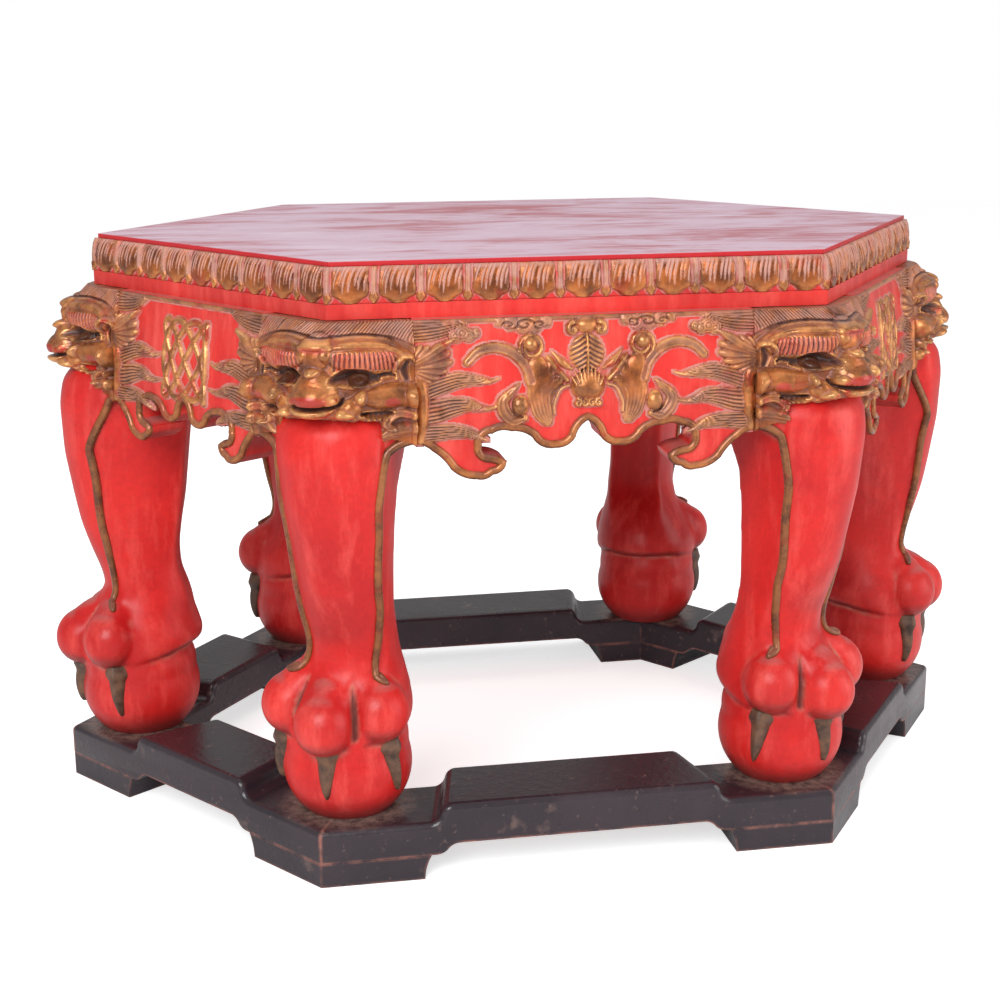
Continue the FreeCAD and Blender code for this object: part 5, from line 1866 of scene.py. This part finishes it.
class TABLE_OT_stage(bpy.types.Operator):
    """Make the floor, the lamps and the camera"""
    bl_idname = "lacquer_table.stage"
    bl_label = "Stage"

    def execute(self, context):
        scene = context.scene
        floor_shape = bmesh.new()
        bmesh.ops.create_grid(floor_shape, x_segments=1, y_segments=1, size=FLOOR_HALF)
        floor = bpy.data.objects.new("floor", finished_mesh(floor_shape, "floor"))
        scene.collection.objects.link(floor)
        floor.data.materials.append(floor_material())
        new_lamp(scene, "key", *KEY_LAMP, scene.table_sizes.key_power)
        for name, (place, size, power) in OTHER_LAMPS.items():
            new_lamp(scene, name, place, size, power)
        scene.world = studio_world()
        scene.view_settings.view_transform = "Standard"
        scene.camera = new_camera(scene)
        return {"FINISHED"}


def new_lamp(scene, name, place, size, power):
    """Soft square lamp that looks at the table."""
    lamp = bpy.data.lights.new(name, "AREA")
    lamp.energy = power
    lamp.size = size
    holder = bpy.data.objects.new(name, lamp)
    holder.location = place
    holder.rotation_euler = (Vector(LAMP_AIM) - Vector(place)).to_track_quat("-Z", "Y").to_euler()
    scene.collection.objects.link(holder)


def studio_world():
    """Soft even light that looks white to the camera."""
    world = bpy.data.worlds.new("studio")
    world.use_nodes = True
    nodes = Nodes(world.node_tree)
    back = world.node_tree.nodes["Background"]
    path = world.node_tree.nodes.new("ShaderNodeLightPath")
    seen = nodes.maths("MAXIMUM", path.outputs["Is Camera Ray"], path.outputs["Is Transmission Ray"])
    back.inputs["Color"].default_value = (1, 1, 1, 1)
    nodes.feed(back.inputs["Strength"], nodes.ramp(seen, 0, 1, WORLD_LEVEL, 1.0))
    return world


def new_camera(scene):
    """Camera at the viewing angle of the picture."""
    camera = bpy.data.cameras.new("camera")
    camera.sensor_width = CAMERA_SENSOR
    camera.lens = CAMERA_LENS
    turn = Matrix.Identity(3)
    for degrees, axis in CAMERA_TURNS:
        turn = turn @ Matrix.Rotation(math.radians(degrees), 3, axis)
    right, ahead, up = turn.col
    axes = Matrix((right, up, -ahead)).transposed()
    holder = bpy.data.objects.new("camera", camera)
    holder.matrix_world = Matrix.Translation(CAMERA_PLACE) @ axes.to_4x4()
    scene.collection.objects.link(holder)
    return holder


def floor_material():
    """Pale floor that looks white to the camera and keeps the object's shadow."""
    material, nodes, shader, place = new_material("pale_floor")
    tone = nodes.noise(place, 3.0, 2.0)
    nodes.feed(shader.inputs["Base Color"], nodes.mix(tone, (0.86, 0.86, 0.87, 1), (0.9, 0.9, 0.91, 1)))
    shader.inputs["Roughness"].default_value = 0.8
    path = nodes.tree.nodes.new("ShaderNodeLightPath")
    nodes.feed(shader.inputs["Emission Color"], (1, 1, 1, 1))
    glow = nodes.times(path.outputs["Is Camera Ray"], 0.6)
    nodes.feed(shader.inputs["Emission Strength"], glow)
    return material


STEPS = (TABLE_OT_finishes, TABLE_OT_top, TABLE_OT_petals, TABLE_OT_aprons, TABLE_OT_masks, TABLE_OT_legs,
         TABLE_OT_base, TABLE_OT_stage)


class TABLE_PT_panel(bpy.types.Panel):
    """Lists the steps that dress the table"""
    bl_idname = "TABLE_PT_panel"
    bl_label = "Lacquer Table"
    bl_space_type = "VIEW_3D"
    bl_region_type = "UI"
    bl_category = "Lacquer Table"

    def draw(self, context):
        for step in STEPS:
            self.layout.operator(step.bl_idname)
        for name in TableSizes.__annotations__:
            self.layout.prop(context.scene.table_sizes, name)
        for name in TableColours.__annotations__:
            self.layout.prop(context.scene.table_colours, name)


CLASSES = (TableColours, TableSizes) + STEPS + (TABLE_PT_panel,)


def register():
    """Makes the operators, the settings and the panel known."""
    for kind in CLASSES:
        bpy.utils.register_class(kind)
    bpy.types.Scene.table_colours = PointerProperty(type=TableColours)
    bpy.types.Scene.table_sizes = PointerProperty(type=TableSizes)


def unregister():
    """Takes away what register made."""
    del bpy.types.Scene.table_sizes
    del bpy.types.Scene.table_colours
    for kind in reversed(CLASSES):
        bpy.utils.unregister_class(kind)


def main():
    """Dresses the table step by step."""
    register()
    bpy.ops.lacquer_table.finishes()
    bpy.ops.lacquer_table.top()
    bpy.ops.lacquer_table.petals()
    bpy.ops.lacquer_table.aprons()
    bpy.ops.lacquer_table.masks()
    bpy.ops.lacquer_table.legs()
    bpy.ops.lacquer_table.base()
    bpy.ops.lacquer_table.stage()


if __name__ == "__main__":
    main()
